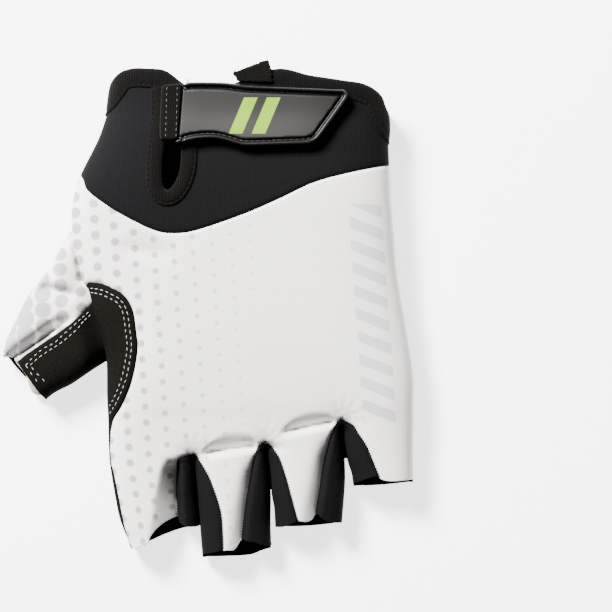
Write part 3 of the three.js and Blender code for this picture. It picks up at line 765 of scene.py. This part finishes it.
def makeRubber():
    look = strapLook
    material, s, shader = startMaterial("Rubber", 0.5, 0.19)
    spot = s.group(placeNodes)
    fromRim = s.add("ShaderNodeAttribute", attribute_name="fromRim").outputs["Fac"]
    onPanel = s.step(fromRim, *look["panelFrom"])
    dx, dy = (s.minus(spot[axis], middle) for axis, middle in zip("XY", look["barCentre"]))
    # Painted highlight: the panel is mixed toward its lighter colour near its lower edge and its middle
    low = s.times(s.step(spot["Y"], *look["highlightY"]), s.step(s.sum("ABSOLUTE", dx), *look["lowX"]))
    color = colorMix(s, onPanel, look["groove"], colorMix(s, low, look["panel"], look["panelHighlight"]))
    color = colorMix(s, s.step(fromRim, *look["rimTo"]), color, look["rim"])
    across = s.sum("ABSOLUTE", s.minus(dx, s.times(dy, look["slant"])))
    across = s.sum("ABSOLUTE", s.minus(across, look["barGap"]))
    soft = look["barSoft"]
    wide, high = (s.step(value, half + soft, half - soft)
                  for value, half in zip((across, s.sum("ABSOLUTE", dy)), look["barHalf"]))
    color = colorMix(s, s.times(wide, high), color, look["bar"])
    s.put(shader.inputs["Roughness"], s.plus(look["rough"], s.times(onPanel, look["panelRough"])))
    dress(s, shader, color, s.group(napNodes, {"Grain": 2.2})["Height"], 0.12, 0.08)
    return material


def plainMaterial(name, color, roughness, specular=0.3):
    material, _, shader = startMaterial(name, roughness, specular)
    shader.inputs["Base Color"].default_value = (*color, 1)
    return material


# Slot names and their materials
materials = {
    "white_cloth": makeWhiteCloth(), "black_cloth": makeBlackCloth(), "suede": makeSuede(),
    "binding": makeBinding(), "tape": makePile(), "strap_rubber": makeRubber(),
}
whiteThread = plainMaterial("WhiteThread", (0.33, 0.315, 0.29), 0.8, 0.1)
greyThread = plainMaterial("GreyThread", (0.045, 0.04, 0.036), 0.7)
liningCloth = plainMaterial("LiningCloth", (0.34, 0.31, 0.27), 0.9, 0.1)
darkThread = plainMaterial("DarkThread", (0.004, 0.0036, 0.0034), 0.75, 0.1)
seamThread = plainMaterial("SeamThread", (0.62, 0.6, 0.58), 0.8)
print("materials made")

# The hand's top, cut into its panels
cuffHem = Line(cuffLine.points + [0, -0.8])
topLines = [cuffHem, seamLine, slitCurve, patchLine, *notchLines.values(), *backMouthLines.values()]
xy, tris, centre = layPlan(handLine, topLines, glove["spacing"])
print("plan of the back:", len(xy), "points,", len(tris), "triangles")


def pastMouth(at, mouths):
    gone = np.zeros(len(at), bool)
    for line in mouths.values():
        lowX, highX = line.points[0, 0], line.points[-1, 0]
        y = np.interp(at[:, 0], line.points[:, 0], line.points[:, 1])
        gone |= (at[:, 0] > lowX) & (at[:, 0] < highX) & (at[:, 1] < y)
    return gone


def aboveLine(at, line):
    return at[:, 1] > np.interp(at[:, 0], line.points[:, 0], line.points[:, 1])


def closedRegion(line, corners):
    return np.vstack([line.points, np.array(corners, float) * 2 * glove["gloveLength"]])


isWrist = aboveLine(centre, seamLine)
base = inside(centre, handLine.points) & ~aboveLine(centre, cuffHem)
base &= ~pastMouth(centre, backMouthLines) & ~inside(centre, slitCurve.points)
skirtHeight = glove["seamHeight"] + glove["skirtLift"]

label = np.where(isWrist, 1, 0)
for number, line in enumerate(notchLines.values()):
    label[inside(centre, line.points)] = 3 + number
label[inside(centre, closedRegion(patchLine, [(-0.1, -1), (-1, -1), (-1, 0)])) & ~isWrist] = 2
label[~base] = -1
panels = [
    ("back_panel", "white_cloth"), ("wrist_panel", "black_cloth"), ("thumb_patch", "suede"),
    ("fourchette_index_middle", "black_cloth"), ("fourchette_middle_ring", "black_cloth"),
    ("fourchette_ring_little", "black_cloth"),
]
seams = [seamLine, patchLine, *notchLines.values()]


def panelTop(lift):
    def height(at):
        near = nearestOf(at, seams)
        return handTop(at) - glove["seamDip"] * np.exp(-(near / glove["seamSpread"]) ** 2) + lift
    return height


for number, (name, slot) in enumerate(panels):
    topAt = panelTop(glove["patchLift"] if name == "thumb_patch" else 0)
    sewPanel("Soft_" + name, name, slot, xy, tris[label == number], topAt, handLine, skirtTo=skirtHeight)


def barMesh(rows):
    # A bar with closed ends from its long edges, which are rows of points in order round it
    rows = np.array(rows)
    size, count = rows.shape[:2]
    faces = [(i * count + k, (i + 1) % size * count + k, (i + 1) % size * count + k + 1, i * count + k + 1)
             for i in range(size) for k in range(count - 1)]
    faces += [tuple(i * count for i in range(size))[::-1], tuple(i * count + count - 1 for i in range(size))]
    return rows.reshape(-1, 3), faces


# Dark webs between the fingers, where their sides touch
webs = {
    "index_middle": [(-0.044, -0.303), (-0.04, -0.34), (-0.035, -0.385), (-0.0285, -0.446)],
    "middle_ring": [(0.1778, -0.286), (0.185, -0.31), (0.1905, -0.34), (0.1942, -0.372)],
    "ring_little": [(0.4138, -0.246), (0.418, -0.27), (0.4222, -0.295), (0.425, -0.308)],
}
webSize = {"halfWidth": 0.75, "low": 4.9, "drop": 0.4}
for name, path in webs.items():
    flat = smoothLine(place(path), 1.2)
    high = np.interp(flat[:, 1], heightTable[:, 0], heightTable[:, 1]) * glove["waistShare"] - webSize["drop"]
    low = np.full(len(flat), webSize["low"])
    left, right = (sideways(flat, away) for away in (webSize["halfWidth"], -webSize["halfWidth"]))
    rows = [np.column_stack(pair) for pair in ((left, high), (right, high), (right, low), (left, low))]
    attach(makeObject("Web_fourchette_" + name, *barMesh(rows), materials["black_cloth"]), "root")

# The thumb's top
thumbLines = [rootLine, thumbSeamLine, thumbMouthLine]
xy, tris, centre = layPlan(thumbLine, thumbLines, glove["spacing"])
offRoot = [(-1, -1), (-1, 1)]
pastThumbMouth = [(-0.15, -1), (1, -1), (1, 1), (-0.4, 1)]


def onThumb(at, mouth):
    return (inside(at, thumbLine.points) & inside(at, closedRegion(rootLine, offRoot))
            & inside(at, closedRegion(mouth, pastThumbMouth)))


def thumbPanelTop(at):
    near = thumbSeamLine.nearest(at)[0]
    return thumbTop(at) - glove["thumbSeamDip"] * np.exp(-(near / glove["seamSpread"]) ** 2)


keep = onThumb(centre, thumbMouthLine)
isWhite = inside(centre, closedRegion(thumbSeamLine, [(-1, -0.1), (-1, 1), (0, 1)]))
for name, part, slot in (("thumb_back", isWhite, "white_cloth"), ("thumb_palm", ~isWhite, "suede")):
    sewPanel("Soft_" + name, name, slot, xy, tris[keep & part], thumbPanelTop, thumbLine, skirtTo=skirtHeight)


# The palm and the underside of the thumb
def undersideAt(outline):
    def height(at):
        q = outline.nearest(at)[0] / glove["palmCorner"]
        return (glove["seamHeight"] - glove["skirtLift"]) * (1 - arch(q, glove["palmPower"]))
    return height


def onPalm(at):
    return inside(at, handLine.points) & ~aboveLine(at, cuffHem) & ~pastMouth(at, palmMouthLines)


def onThumbUnderside(at):
    return onThumb(at, thumbLipLine)


for name, node, outline, lines, isOn in (
        ("Soft_palm_panel", "palm_panel", handLine, [cuffHem, *palmMouthLines.values()], onPalm),
        ("Soft_thumb_underside", "thumb_palm", thumbLine, [rootLine, thumbLipLine], onThumbUnderside)):
    xy, tris, centre = layPlan(outline, lines, glove["palmSpacing"], seamRows=(0.5,))
    sewPanel(name, node, "suede", xy, tris[isOn(centre)], undersideAt(outline), outline, flip=True)


def slabMesh(outline, step, topAt, bottomAt, edgeRows=(0.06, 0.2, 0.45, 0.8)):
    # A flat piece with a shaped top: two sheets and a side wall between them
    xy, tris, centre = layPlan(outline, [], step, edgeRows=edgeRows)
    xy, tris = upright(xy, tris[inside(centre, outline.points)])
    over = len(xy)
    faces = [tuple(f) for f in tris] + [tuple(f[::-1] + over) for f in tris]
    faces += [(b, a, a + over, b + over) for a, b in openEdges(tris)]
    return np.vstack([np.column_stack([xy, heightAt(xy)]) for heightAt in (topAt, bottomAt)]), faces, xy


# The cuff binding: a band folded over the edge, all the way round the cuff
cuffBand = {
    "width": 6.5, "around": 190, "under": 90, "sideSteps": 6, "waver": 0.42, "waves": (23, 41, 67, 97),
    "slope": 0.4, "ground": 0.02, "stitchAt": 0.86, "stitchLift": 0.42,
    # Distance down from the edge as a share of the width, and height off the cloth in mm
    "profile": [
        (1.0, -0.35), (1.0, 0.25), (0.955, 0.5), (0.86, 0.42), (0.79, 0.62), (0.6, 0.86), (0.4, 0.95),
        (0.2, 0.9), (0.07, 0.65), (0.0, 0.15), (-0.03, -0.5), (0.0, -1.15), (0.07, -1.75), (0.4, -2.05),
        (0.8, -2.0), (0.92, -1.6), (0.92, -1.2),
    ],
}


def cuffLoop(down):
    # The edge of the cuff moved down the glove: over the back, then round under the palm
    fine = resample(cuffLine.points - leftward(cuffLine.nearest(cuffLine.points)[3]) * down, 0.05)
    fine = fine[inside(fine, handLine.points)]

    def evened(count):
        index = np.linspace(0, 1, count) * (len(fine) - 1)
        return np.column_stack([np.interp(index, np.arange(len(fine)), fine[:, k]) for k in (0, 1)])

    top, under = evened(cuffBand["around"]), evened(cuffBand["under"])[::-1]
    top = np.column_stack([top, handTop(top)])
    under = np.column_stack([under, undersideAt(handLine)(under)])

    def side(at, first, last):
        z = np.linspace(first, last, cuffBand["sideSteps"] + 2)[1:-1]
        return np.column_stack([np.tile(at[:2], (len(z), 1)), z])

    far, near = side(top[-1], top[-1, 2], under[0, 2]), side(top[0], under[-1, 2], top[0, 2])
    return np.vstack([top, far, under, near])


def tubeFaces(rows, columns):
    faces = []
    for i in range(rows):
        j = (i + 1) % rows
        for k in range(columns):
            m = (k + 1) % columns
            faces.append((i * columns + k, i * columns + m, j * columns + m, j * columns + k))
    return faces


def cuffPoint(down, lift):
    # The band's surface at one distance down from the edge
    base = np.array([cuffLoop(down + step) for step in (-cuffBand["slope"], 0, cuffBand["slope"])])
    around = np.roll(base, -1, axis=1) - np.roll(base, 1, axis=1)
    normal = np.cross(np.gradient(base, axis=0), around)[1]
    normal /= np.maximum(np.linalg.norm(normal, axis=1, keepdims=True), 1e-9)
    return base[1] + normal * lift


rings = []
for share, lift in cuffBand["profile"]:
    ring = cuffPoint(max(share, 0) * cuffBand["width"], lift)
    ring[:, 1] -= min(share, 0) * cuffBand["width"]
    rings.append(ring)
rings = np.array(rings)
turns = np.arange(rings.shape[1]) / rings.shape[1] * 2 * math.pi
rings[:4, :, 1] += sum(np.sin(turns * n + n * n) / n for n in cuffBand["waves"]) * cuffBand["waver"]
rings[:, :, 2] = np.maximum(rings[:, :, 2], cuffBand["ground"])
faces = tubeFaces(*rings.shape[:2])
cuff = makeObject("Soft_cuff_binding", rings.reshape(-1, 3), faces, materials["binding"])
finishPiece(cuff, "cuff_binding")
print("cuff binding:", len(faces), "faces")

# The lining that shows in the thumb's mouth
lining = {
    "outline": [(-0.5977, -0.108), (-0.579, -0.125), (-0.567, -0.136), (-0.56, -0.144), (-0.557, -0.156),
                (-0.548, -0.17), (-0.5348, -0.1765), (-0.517, -0.177), (-0.505, -0.164), (-0.525, -0.145),
                (-0.55, -0.12), (-0.575, -0.099)],
    "low": 3.2, "high": 5.0, "under": 0.6, "round": 1.6,
}
liningLine = lineOf(lining["outline"], 0.4, closed=True)


def liningTop(xy):
    rise = arch(liningLine.nearest(xy)[0] / lining["round"], 2.0)
    return lining["low"] + (lining["high"] - lining["low"]) * rise


def liningFloor(xy):
    return np.full(len(xy), lining["low"] - lining["under"])


verts, faces, _ = slabMesh(liningLine, 0.5, liningTop, liningFloor)
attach(makeObject("ThumbLining", verts, faces, liningCloth), "root")

# The binding round the wrist slit: a padded ribbon folded over the edge
slitBand = {
    "halfWidth": 2.75, "step": 0.5, "top": 76.5, "stitchAt": 0.74, "stitchLift": 0.52,
    # Place across as a share of the half width, and height off the cloth in mm
    "profile": [
        (-1.0, 0.1), (-0.97, 0.45), (-0.86, 0.6), (-0.74, 0.42), (-0.6, 0.78), (-0.35, 1.02), (0.0, 1.12),
        (0.35, 1.0), (0.66, 0.74), (0.9, 0.35), (1.0, -0.25), (0.97, -1.1), (0.75, -1.6), (0.0, -1.55),
        (-0.6, -1.5), (-0.95, -1.2), (-1.0, -0.5),
    ],
}

slitPath = slitCurve.points[slitCurve.points[:, 1] < slitBand["top"]]
slitPath = Line(resample(slitPath, slitBand["step"]))
rows = []
for across, lift in slitBand["profile"]:
    flat = sideways(slitPath.points, across * slitBand["halfWidth"])
    rows.append(np.column_stack([flat, handTop(flat) + lift]))
verts, faces = barMesh(rows)
slit = makeObject("Soft_slit_binding", verts, [face[::-1] for face in faces], materials["binding"])
finishPiece(slit, "slit_binding")

# The strap, its sewn end, the pad under it and the rough tape end, as outlines in shares
strap = {
    "outline": [
        (-0.072, 0.4612), (-0.017, 0.462), (0.057, 0.461), (0.116, 0.455), (0.4, 0.447), (0.418, 0.4475),
        (0.4305, 0.439), (0.427, 0.428), (0.342, 0.3485), (0.33, 0.3405), (0.305, 0.335), (0.1164, 0.3306),
        (0.0965, 0.333), (0.057, 0.3419), (0.0179, 0.347), (-0.0314, 0.345), (-0.094, 0.3355),
        (-0.0975, 0.34), (-0.085, 0.346), (-0.079, 0.4),
    ],
    "under": 2.0, "thickness": 1.9, "rimWidth": 1.35, "rimFoot": 1.15, "rimRise": 1.15, "grooveAt": 1.95,
    "grooveFloor": 0.75, "panelEdge": 2.65, "panelSlope": 0.55, "spacing": 0.55,
    "corner": 2.2, "sewnEnd": -0.066, "rimStart": (8.0, 0.05), "rimEnd": (8.0, 1.7),
    "rows": (0.05, 0.14, 0.28, 0.5, 0.7, 0.95, 1.2, 1.34, 1.5, 1.95, 2.1, 2.3, 2.5, 2.65),
}
anchor = {
    "outline": [(-0.14, 0.456), (-0.0735, 0.46), (-0.0805, 0.4), (-0.0865, 0.347), (-0.1, 0.342),
                (-0.144, 0.344), (-0.145, 0.37)],
    "under": 0.7, "thickness": 3.2,
}
tape = {
    "outline": [(0.0755, 0.481), (0.185, 0.5097), (0.1972, 0.4877), (0.2, 0.462), (0.096, 0.462),
                (0.0816, 0.4764)],
    "under": 0.9, "thickness": 1.1,
}
hookPad = {
    "outline": [(0.04, 0.44), (0.364, 0.432), (0.3, 0.35), (0.06, 0.348)],
    "under": 0.15, "thickness": 1.4,
}


def openRim(outline):
    # The strap's outline without its sewn left end, run a little past both corners
    right = outline.points[:, 0] > strap["sewnEnd"] * glove["handWidth"]
    first = next(i for i in range(len(right)) if right[i] and not right[i - 1])
    points = np.roll(outline.points, -first, axis=0)[np.roll(right, -first)]
    return np.vstack([points[:1] - strap["rimStart"], points, points[-1:] - strap["rimEnd"]])


def strapFloor(xy):
    return handTop(xy) + strap["under"]


strapLine = Line(roundedLine(place(strap["outline"]), strap["corner"], 0.4), closed=True)
rimLine = Line(openRim(strapLine))


def rimShape(xy):
    # Height of the strap's top over its underside: a rounded rim, a groove, then the panel
    d = rimLine.nearest(xy)[0]
    half, floor = strap["rimWidth"] / 2, strap["grooveFloor"]
    rim = strap["rimFoot"] + strap["rimRise"] * np.sqrt(np.clip(1 - ((d - half) / half) ** 2, 0, 1))
    panel = floor + (strap["thickness"] - floor) * softStep(d, strap["panelEdge"] - strap["panelSlope"],
                                                            strap["panelEdge"])
    return np.where(d > strap["grooveAt"], panel, np.where(d < strap["rimWidth"], rim, floor))


def strapTop(xy):
    dist = strapLine.nearest(xy)[0]
    return strapFloor(xy) + rimShape(xy) * (0.35 + 0.65 * softStep(dist, -0.05, 0.25))


verts, faces, strapPlan = slabMesh(strapLine, strap["spacing"], strapTop, strapFloor, edgeRows=strap["rows"])
strapPiece = makeObject("Soft_strap", verts, faces, materials["strap_rubber"])
attribute = strapPiece.data.attributes.new("fromRim", "FLOAT", "POINT")
values = np.concatenate([rimLine.nearest(strapPlan)[0]] * 2)
attribute.data.foreach_set("value", values.astype(np.float32))
finishPiece(strapPiece, "strap")
print("strap:", len(faces), "faces")


def plainSlab(node, values, slot, step=0.8, ragged=0.0):
    # A flat sewn piece with rounded edges. A ragged one has a frayed outline and small bumps.
    flat = roundedLine(place(values["outline"]), 0.5 if ragged else 1.5, 0.35)
    if ragged:
        flat = flat + np.random.default_rng(3).normal(0, ragged, flat.shape)
    line = Line(flat, closed=True)

    def low(xy):
        return handTop(xy) + values["under"]

    def high(xy):
        dist = line.nearest(xy)[0]
        bumps = ragged * 1.2 * np.sin(xy[:, 0] * 7.1) * np.sin(xy[:, 1] * 6.3)
        return low(xy) + values["thickness"] * (0.45 + 0.55 * arch(dist / 0.9, 2.2)) + bumps

    verts, faces, _ = slabMesh(line, step, high, low)
    finishPiece(makeObject("Soft_" + node, verts, faces, materials[slot]), node)


plainSlab("strap_anchor", anchor, "binding", step=0.6)
plainSlab("hook_pad", hookPad, "tape")
plainSlab("tape_end", tape, "tape", step=0.45, ragged=0.13)
print("strap, pad and tape laid on")


# Stitches: small spindles along rows, placed by geometry nodes
def stitchTree():
    tree = bpy.data.node_groups.new("StitchRows", "GeometryNodeTree")
    for label, kind in (("Rows", "Geometry"), ("Pitch", "Float"), ("Length", "Float"), ("Width", "Float"),
                        ("Across", "Float"), ("Thread", "Material")):
        tree.interface.new_socket(label, in_out="INPUT", socket_type="NodeSocket" + kind)
    tree.interface.new_socket("Stitches", in_out="OUTPUT", socket_type="NodeSocketGeometry")
    s = Shading(tree)
    given, out = s.add("NodeGroupInput").outputs, s.add("NodeGroupOutput").inputs
    curve = s.add("GeometryNodeMeshToCurve", {"Mesh": given["Rows"]})
    evened = s.add("GeometryNodeResampleCurve", {"Curve": curve.outputs[0], "Length": given["Pitch"]},
                   mode="LENGTH")
    tangent = s.add("GeometryNodeInputTangent").outputs[0]
    aligned = s.add("FunctionNodeAlignRotationToVector", {"Vector": tangent}, axis="X")
    wobble = s.add("FunctionNodeRandomValue", {"Seed": 5, 0: (-0.1, -0.1, -0.16), 1: (0.1, 0.1, 0.16)},
                   data_type="FLOAT_VECTOR")
    across = s.add("ShaderNodeCombineXYZ", {"Z": given["Across"]})
    shaken = s.add("ShaderNodeVectorMath", {0: wobble.outputs[0], 1: across.outputs[0]}, operation="ADD")
    turned = s.add("FunctionNodeRotateRotation", {0: aligned.outputs[0], 1: shaken.outputs[0]},
                   rotation_space="LOCAL")
    spindle = s.add("GeometryNodeMeshUVSphere", {"Segments": 8, "Rings": 6, "Radius": 0.5})
    vary = s.add("FunctionNodeRandomValue", {"Seed": 9, 2: 0.85, 3: 1.12})
    size = s.add("ShaderNodeCombineXYZ", {"X": s.times(given["Length"], vary.outputs[1]), "Y": given["Width"],
                                          "Z": given["Width"]})
    placed = s.add("GeometryNodeInstanceOnPoints", {
        "Points": evened.outputs[0], "Instance": spindle.outputs[0], "Rotation": turned.outputs[0],
        "Scale": size.outputs[0]})
    real = s.add("GeometryNodeRealizeInstances", {"Geometry": placed.outputs[0]})
    smooth = s.add("GeometryNodeSetShadeSmooth", {"Geometry": real.outputs[0]})
    colored = s.add("GeometryNodeSetMaterial", {"Geometry": smooth.outputs[0], "Material": given["Thread"]})
    s.put(out[0], colored.outputs[0])
    return tree


stitchNodes = stitchTree()


# Pitch, length and width of the stitches, in mm
stitchSizes = {
    "WhiteStitches": (2.1, 1.3, 0.25), "StrapStitches": (1.9, 1.1, 0.34), "DarkStitches": (1.9, 1.2, 0.36),
    "FingerOverlock": (0.95, 0.85, 0.34), "WristSeamStitches": (1.6, 1.0, 0.26),
}
# How high the rows lie over the cloth, and how far they lie from their edges
stitchLay = {
    "seam": 0.12, "patchIn": (1.9, 3.4), "patchRoom": 1.0, "anchor": 0.05, "grooveIn": 1.68, "groove": 0.85,
    "grooveRoom": 0.5, "overlock": -0.3, "wristBelow": 1.1, "wrist": -0.04,
}


def stitches(name, rows, thread, across=0.0):
    # rows are lists of points in mm; the stitches become one plain mesh
    verts, edges = [], []
    for row in rows:
        first = len(verts)
        verts += [tuple(p) for p in np.asarray(row) * mm]
        edges += [(first + i, first + i + 1) for i in range(len(row) - 1)]
    mesh = bpy.data.meshes.new(name + "Rows")
    mesh.from_pydata(verts, edges, [])
    source = newObject(name + "Rows", mesh)
    modifier = source.modifiers.new("Stitches", "NODES")
    modifier.node_group = stitchNodes
    values = {"Across": across, "Thread": thread}
    values.update((key, size * mm) for key, size in zip(("Pitch", "Length", "Width"), stitchSizes[name]))
    for item in stitchNodes.interface.items_tree:
        if item.in_out == "INPUT" and item.name in values:
            modifier[item.identifier] = values[item.name]
    bpy.context.view_layer.update()
    shown = source.evaluated_get(bpy.context.evaluated_depsgraph_get())
    made = bpy.data.meshes.new_from_object(shown)
    bpy.data.objects.remove(source)
    if not len(made.materials):
        made.materials.append(thread)
    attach(newObject(name, made), "root")
    print(name, len(made.polygons), "faces")


def onTop(flat, topAt, lift):
    return np.column_stack([flat, topAt(flat) + lift])


def stretchOf(line, first, last):
    # The part of a line between the points nearest to two places given in shares
    ends = place([first, last])
    low, high = sorted(int(np.argmin(np.hypot(*(line.points - end).T))) for end in ends)
    return line.points[low:high + 1]


thumbRows = [
    [(-0.3715, -0.0084), (-0.4128, -0.0347), (-0.4442, -0.053), (-0.472, -0.0698), (-0.5006, -0.0793),
     (-0.5308, -0.0949), (-0.5564, -0.1131)],
    [(-0.365, -0.014), (-0.3836, -0.026), (-0.4011, -0.0411), (-0.4285, -0.0574), (-0.4559, -0.0718),
     (-0.4898, -0.0862), (-0.5191, -0.0996), (-0.5425, -0.1129)],
    [(-0.5564, -0.1185), (-0.5379, -0.1368), (-0.5268, -0.1464)],
    [(-0.5379, -0.1224), (-0.5268, -0.1314), (-0.5052, -0.1458)],
]
rows = [onTop(smoothLine(place(row)), thumbPanelTop, stitchLay["seam"]) for row in thumbRows]
edge = stretchOf(patchLine, (-0.37, 0.051), (-0.2927, -0.228))
for away in stitchLay["patchIn"]:
    flat = smoothLine(sideways(edge, -away)[::3])
    flat = flat[inside(flat, handLine.points) & (handLine.nearest(flat)[0] > stitchLay["patchRoom"])]
    rows.append(onTop(flat, panelTop(glove["patchLift"]), stitchLay["seam"]))
stitches("WhiteStitches", rows, whiteThread)

# Light thread on the strap's sewn end and in its groove
rows = []
for x in (-0.1223, -0.0903):
    flat = smoothLine(place([(x, 0.448), (x - 0.003, 0.352)]))
    rows.append(onTop(flat, handTop, anchor["under"] + anchor["thickness"] + stitchLay["anchor"]))
groove = sideways(rimLine.points, -stitchLay["grooveIn"])
groove = groove[inside(groove, strapLine.points) & (strapLine.nearest(groove)[0] > stitchLay["grooveRoom"])]
rows.append(onTop(groove, strapFloor, stitchLay["groove"]))
stitches("StrapStitches", rows, greyThread)

# Dark thread: the cuff, the slit, and the overlocked edges of the finger panels
ring = cuffPoint(cuffBand["width"] * cuffBand["stitchAt"], cuffBand["stitchLift"])
flat = sideways(slitPath.points, -slitBand["halfWidth"] * slitBand["stitchAt"])[2:-2]
rows = [ring[2:cuffBand["around"] - 2], onTop(flat, handTop, slitBand["stitchLift"])]
stitches("DarkStitches", rows, darkThread)
rows = []
for line in notchLines.values():
    kept = line.points[~pastMouth(line.points - [0, 0.5], backMouthLines)]
    rows.append(onTop(kept, handTop, stitchLay["overlock"]))
stitches("FingerOverlock", rows, darkThread, across=math.pi / 2)
flat = sideways(stretchOf(seamLine, (-0.4, 0.28), (0.555, 0.294)), -stitchLay["wristBelow"])[2:-2]
stitches("WristSeamStitches", [onTop(flat, handTop, stitchLay["wrist"])], seamThread)

# Loose thread ends at the notches and beside the strap
tufts = {
    "threads": [  # where it starts, and where it ends beyond that in mm
        ((-0.044, -0.299), (-0.3, 2.0)), ((-0.043, -0.2995), (0.5, 1.3)), ((0.175, -0.275), (0.1, 2.2)),
        ((0.176, -0.2755), (-0.6, 1.2)), ((0.408, -0.226), (0.3, 2.4)), ((0.407, -0.2265), (-0.5, 1.5)),
        ((-0.065, 0.46), (1.1, 2.2)), ((-0.06, 0.46), (-1.0, 1.6)),
    ],
    "radius": 0.13, "sides": 6, "steps": 7,
}


def threadMesh(path, radius, sides):
    tangent = np.gradient(path, axis=0)
    tangent /= np.linalg.norm(tangent, axis=1, keepdims=True)
    across = np.cross(tangent, (0.3, -0.2, 1.0))
    across /= np.linalg.norm(across, axis=1, keepdims=True)
    up = np.cross(across, tangent)
    turns = np.arange(sides) / sides * 2 * math.pi
    thin = radius * (1 - 0.6 * np.linspace(0, 1, len(path)) ** 3)[:, None]
    verts, faces = barMesh([path + (across * math.cos(a) + up * math.sin(a)) * thin for a in turns])
    return verts, [face[::-1] for face in faces]


allVerts, allFaces = [], []
for start, reach in tufts["threads"]:
    at = place([start])
    t = np.linspace(0, 1, tufts["steps"])[:, None]
    flat = at + np.array(reach) * t + np.array([reach[1], -reach[0]]) * 0.18 * np.sin(t * 3.0)
    path = np.column_stack([flat, handTop(at) - 0.3 + 1.1 * np.sin(t[:, 0] * 2.4)])
    verts, faces = threadMesh(path, tufts["radius"], tufts["sides"])
    allFaces += [tuple(i + len(allVerts) for i in f) for f in faces]
    allVerts += list(verts)
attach(makeObject("LooseThreads", allVerts, allFaces, darkThread), "root")
print("stitches sewn")

# Studio: a pale floor, soft lights and the camera straight above
studio = {
    "millimetresPerPixel": 0.345, "photoSize": 612, "boxCentrePixel": (208, 309),
    "cameraHeight": 1.15, "sensor": 36.0, "floorSize": 3.0, "floorColor": (0.92, 0.92, 0.92, 1),
    "floorGlow": 2.6, "worldLight": 0.035, "aim": (0.02, 0, 0),
    # Name, place, size and power of each light
    "lights": [
        ("KeyLight", (-0.6, 0.8, 0.8), 0.38, 128.0), ("FillLight", (0.5, -0.7, 1.0), 1.2, 0.8),
        ("TopLight", (-0.1, 0.2, 1.5), 0.9, 1.5),
    ],
}


def buildStudio():
    white = (1, 1, 1, 1)
    floorMesh = bpy.data.meshes.new("Floor")
    half = studio["floorSize"] / 2
    corners = [(-half, -half, 0), (half, -half, 0), (half, half, 0), (-half, half, 0)]
    floorMesh.from_pydata(corners, [], [(0, 1, 2, 3)])
    paper, _, shader = startMaterial("FloorPaper", 0.9, 0.1)
    for name, value in (("Base Color", studio["floorColor"]), ("Emission Color", white),
                        ("Emission Strength", studio["floorGlow"])):
        shader.inputs[name].default_value = value
    floorMesh.materials.append(paper)
    floor = newObject("Floor", floorMesh)
    scale = studio["millimetresPerPixel"] * mm
    centre = studio["photoSize"] / 2
    atX = (centre - studio["boxCentrePixel"][0]) * scale
    atY = (studio["boxCentrePixel"][1] - centre) * scale
    camera = bpy.data.cameras.new("Camera")
    camera.sensor_width = studio["sensor"]
    camera.lens = studio["sensor"] * studio["cameraHeight"] / (studio["photoSize"] * scale)
    bpy.context.scene.camera = newObject("Camera", camera)
    bpy.context.scene.camera.location = (atX, atY, studio["cameraHeight"] + 0.01)
    for name, where, size, power in studio["lights"]:
        light = bpy.data.lights.new(name, "AREA")
        light.size, light.energy = size, power
        lamp = newObject(name, light)
        lamp.location = where
        lamp.rotation_euler = (Vector(studio["aim"]) - Vector(where)).to_track_quat("-Z", "Y").to_euler()
    world = bpy.data.worlds.new("World")
    world.use_nodes = True
    background = world.node_tree.nodes["Background"].inputs
    background["Color"].default_value, background["Strength"].default_value = white, studio["worldLight"]
    bpy.context.scene.world = world


buildStudio()
print("studio set")
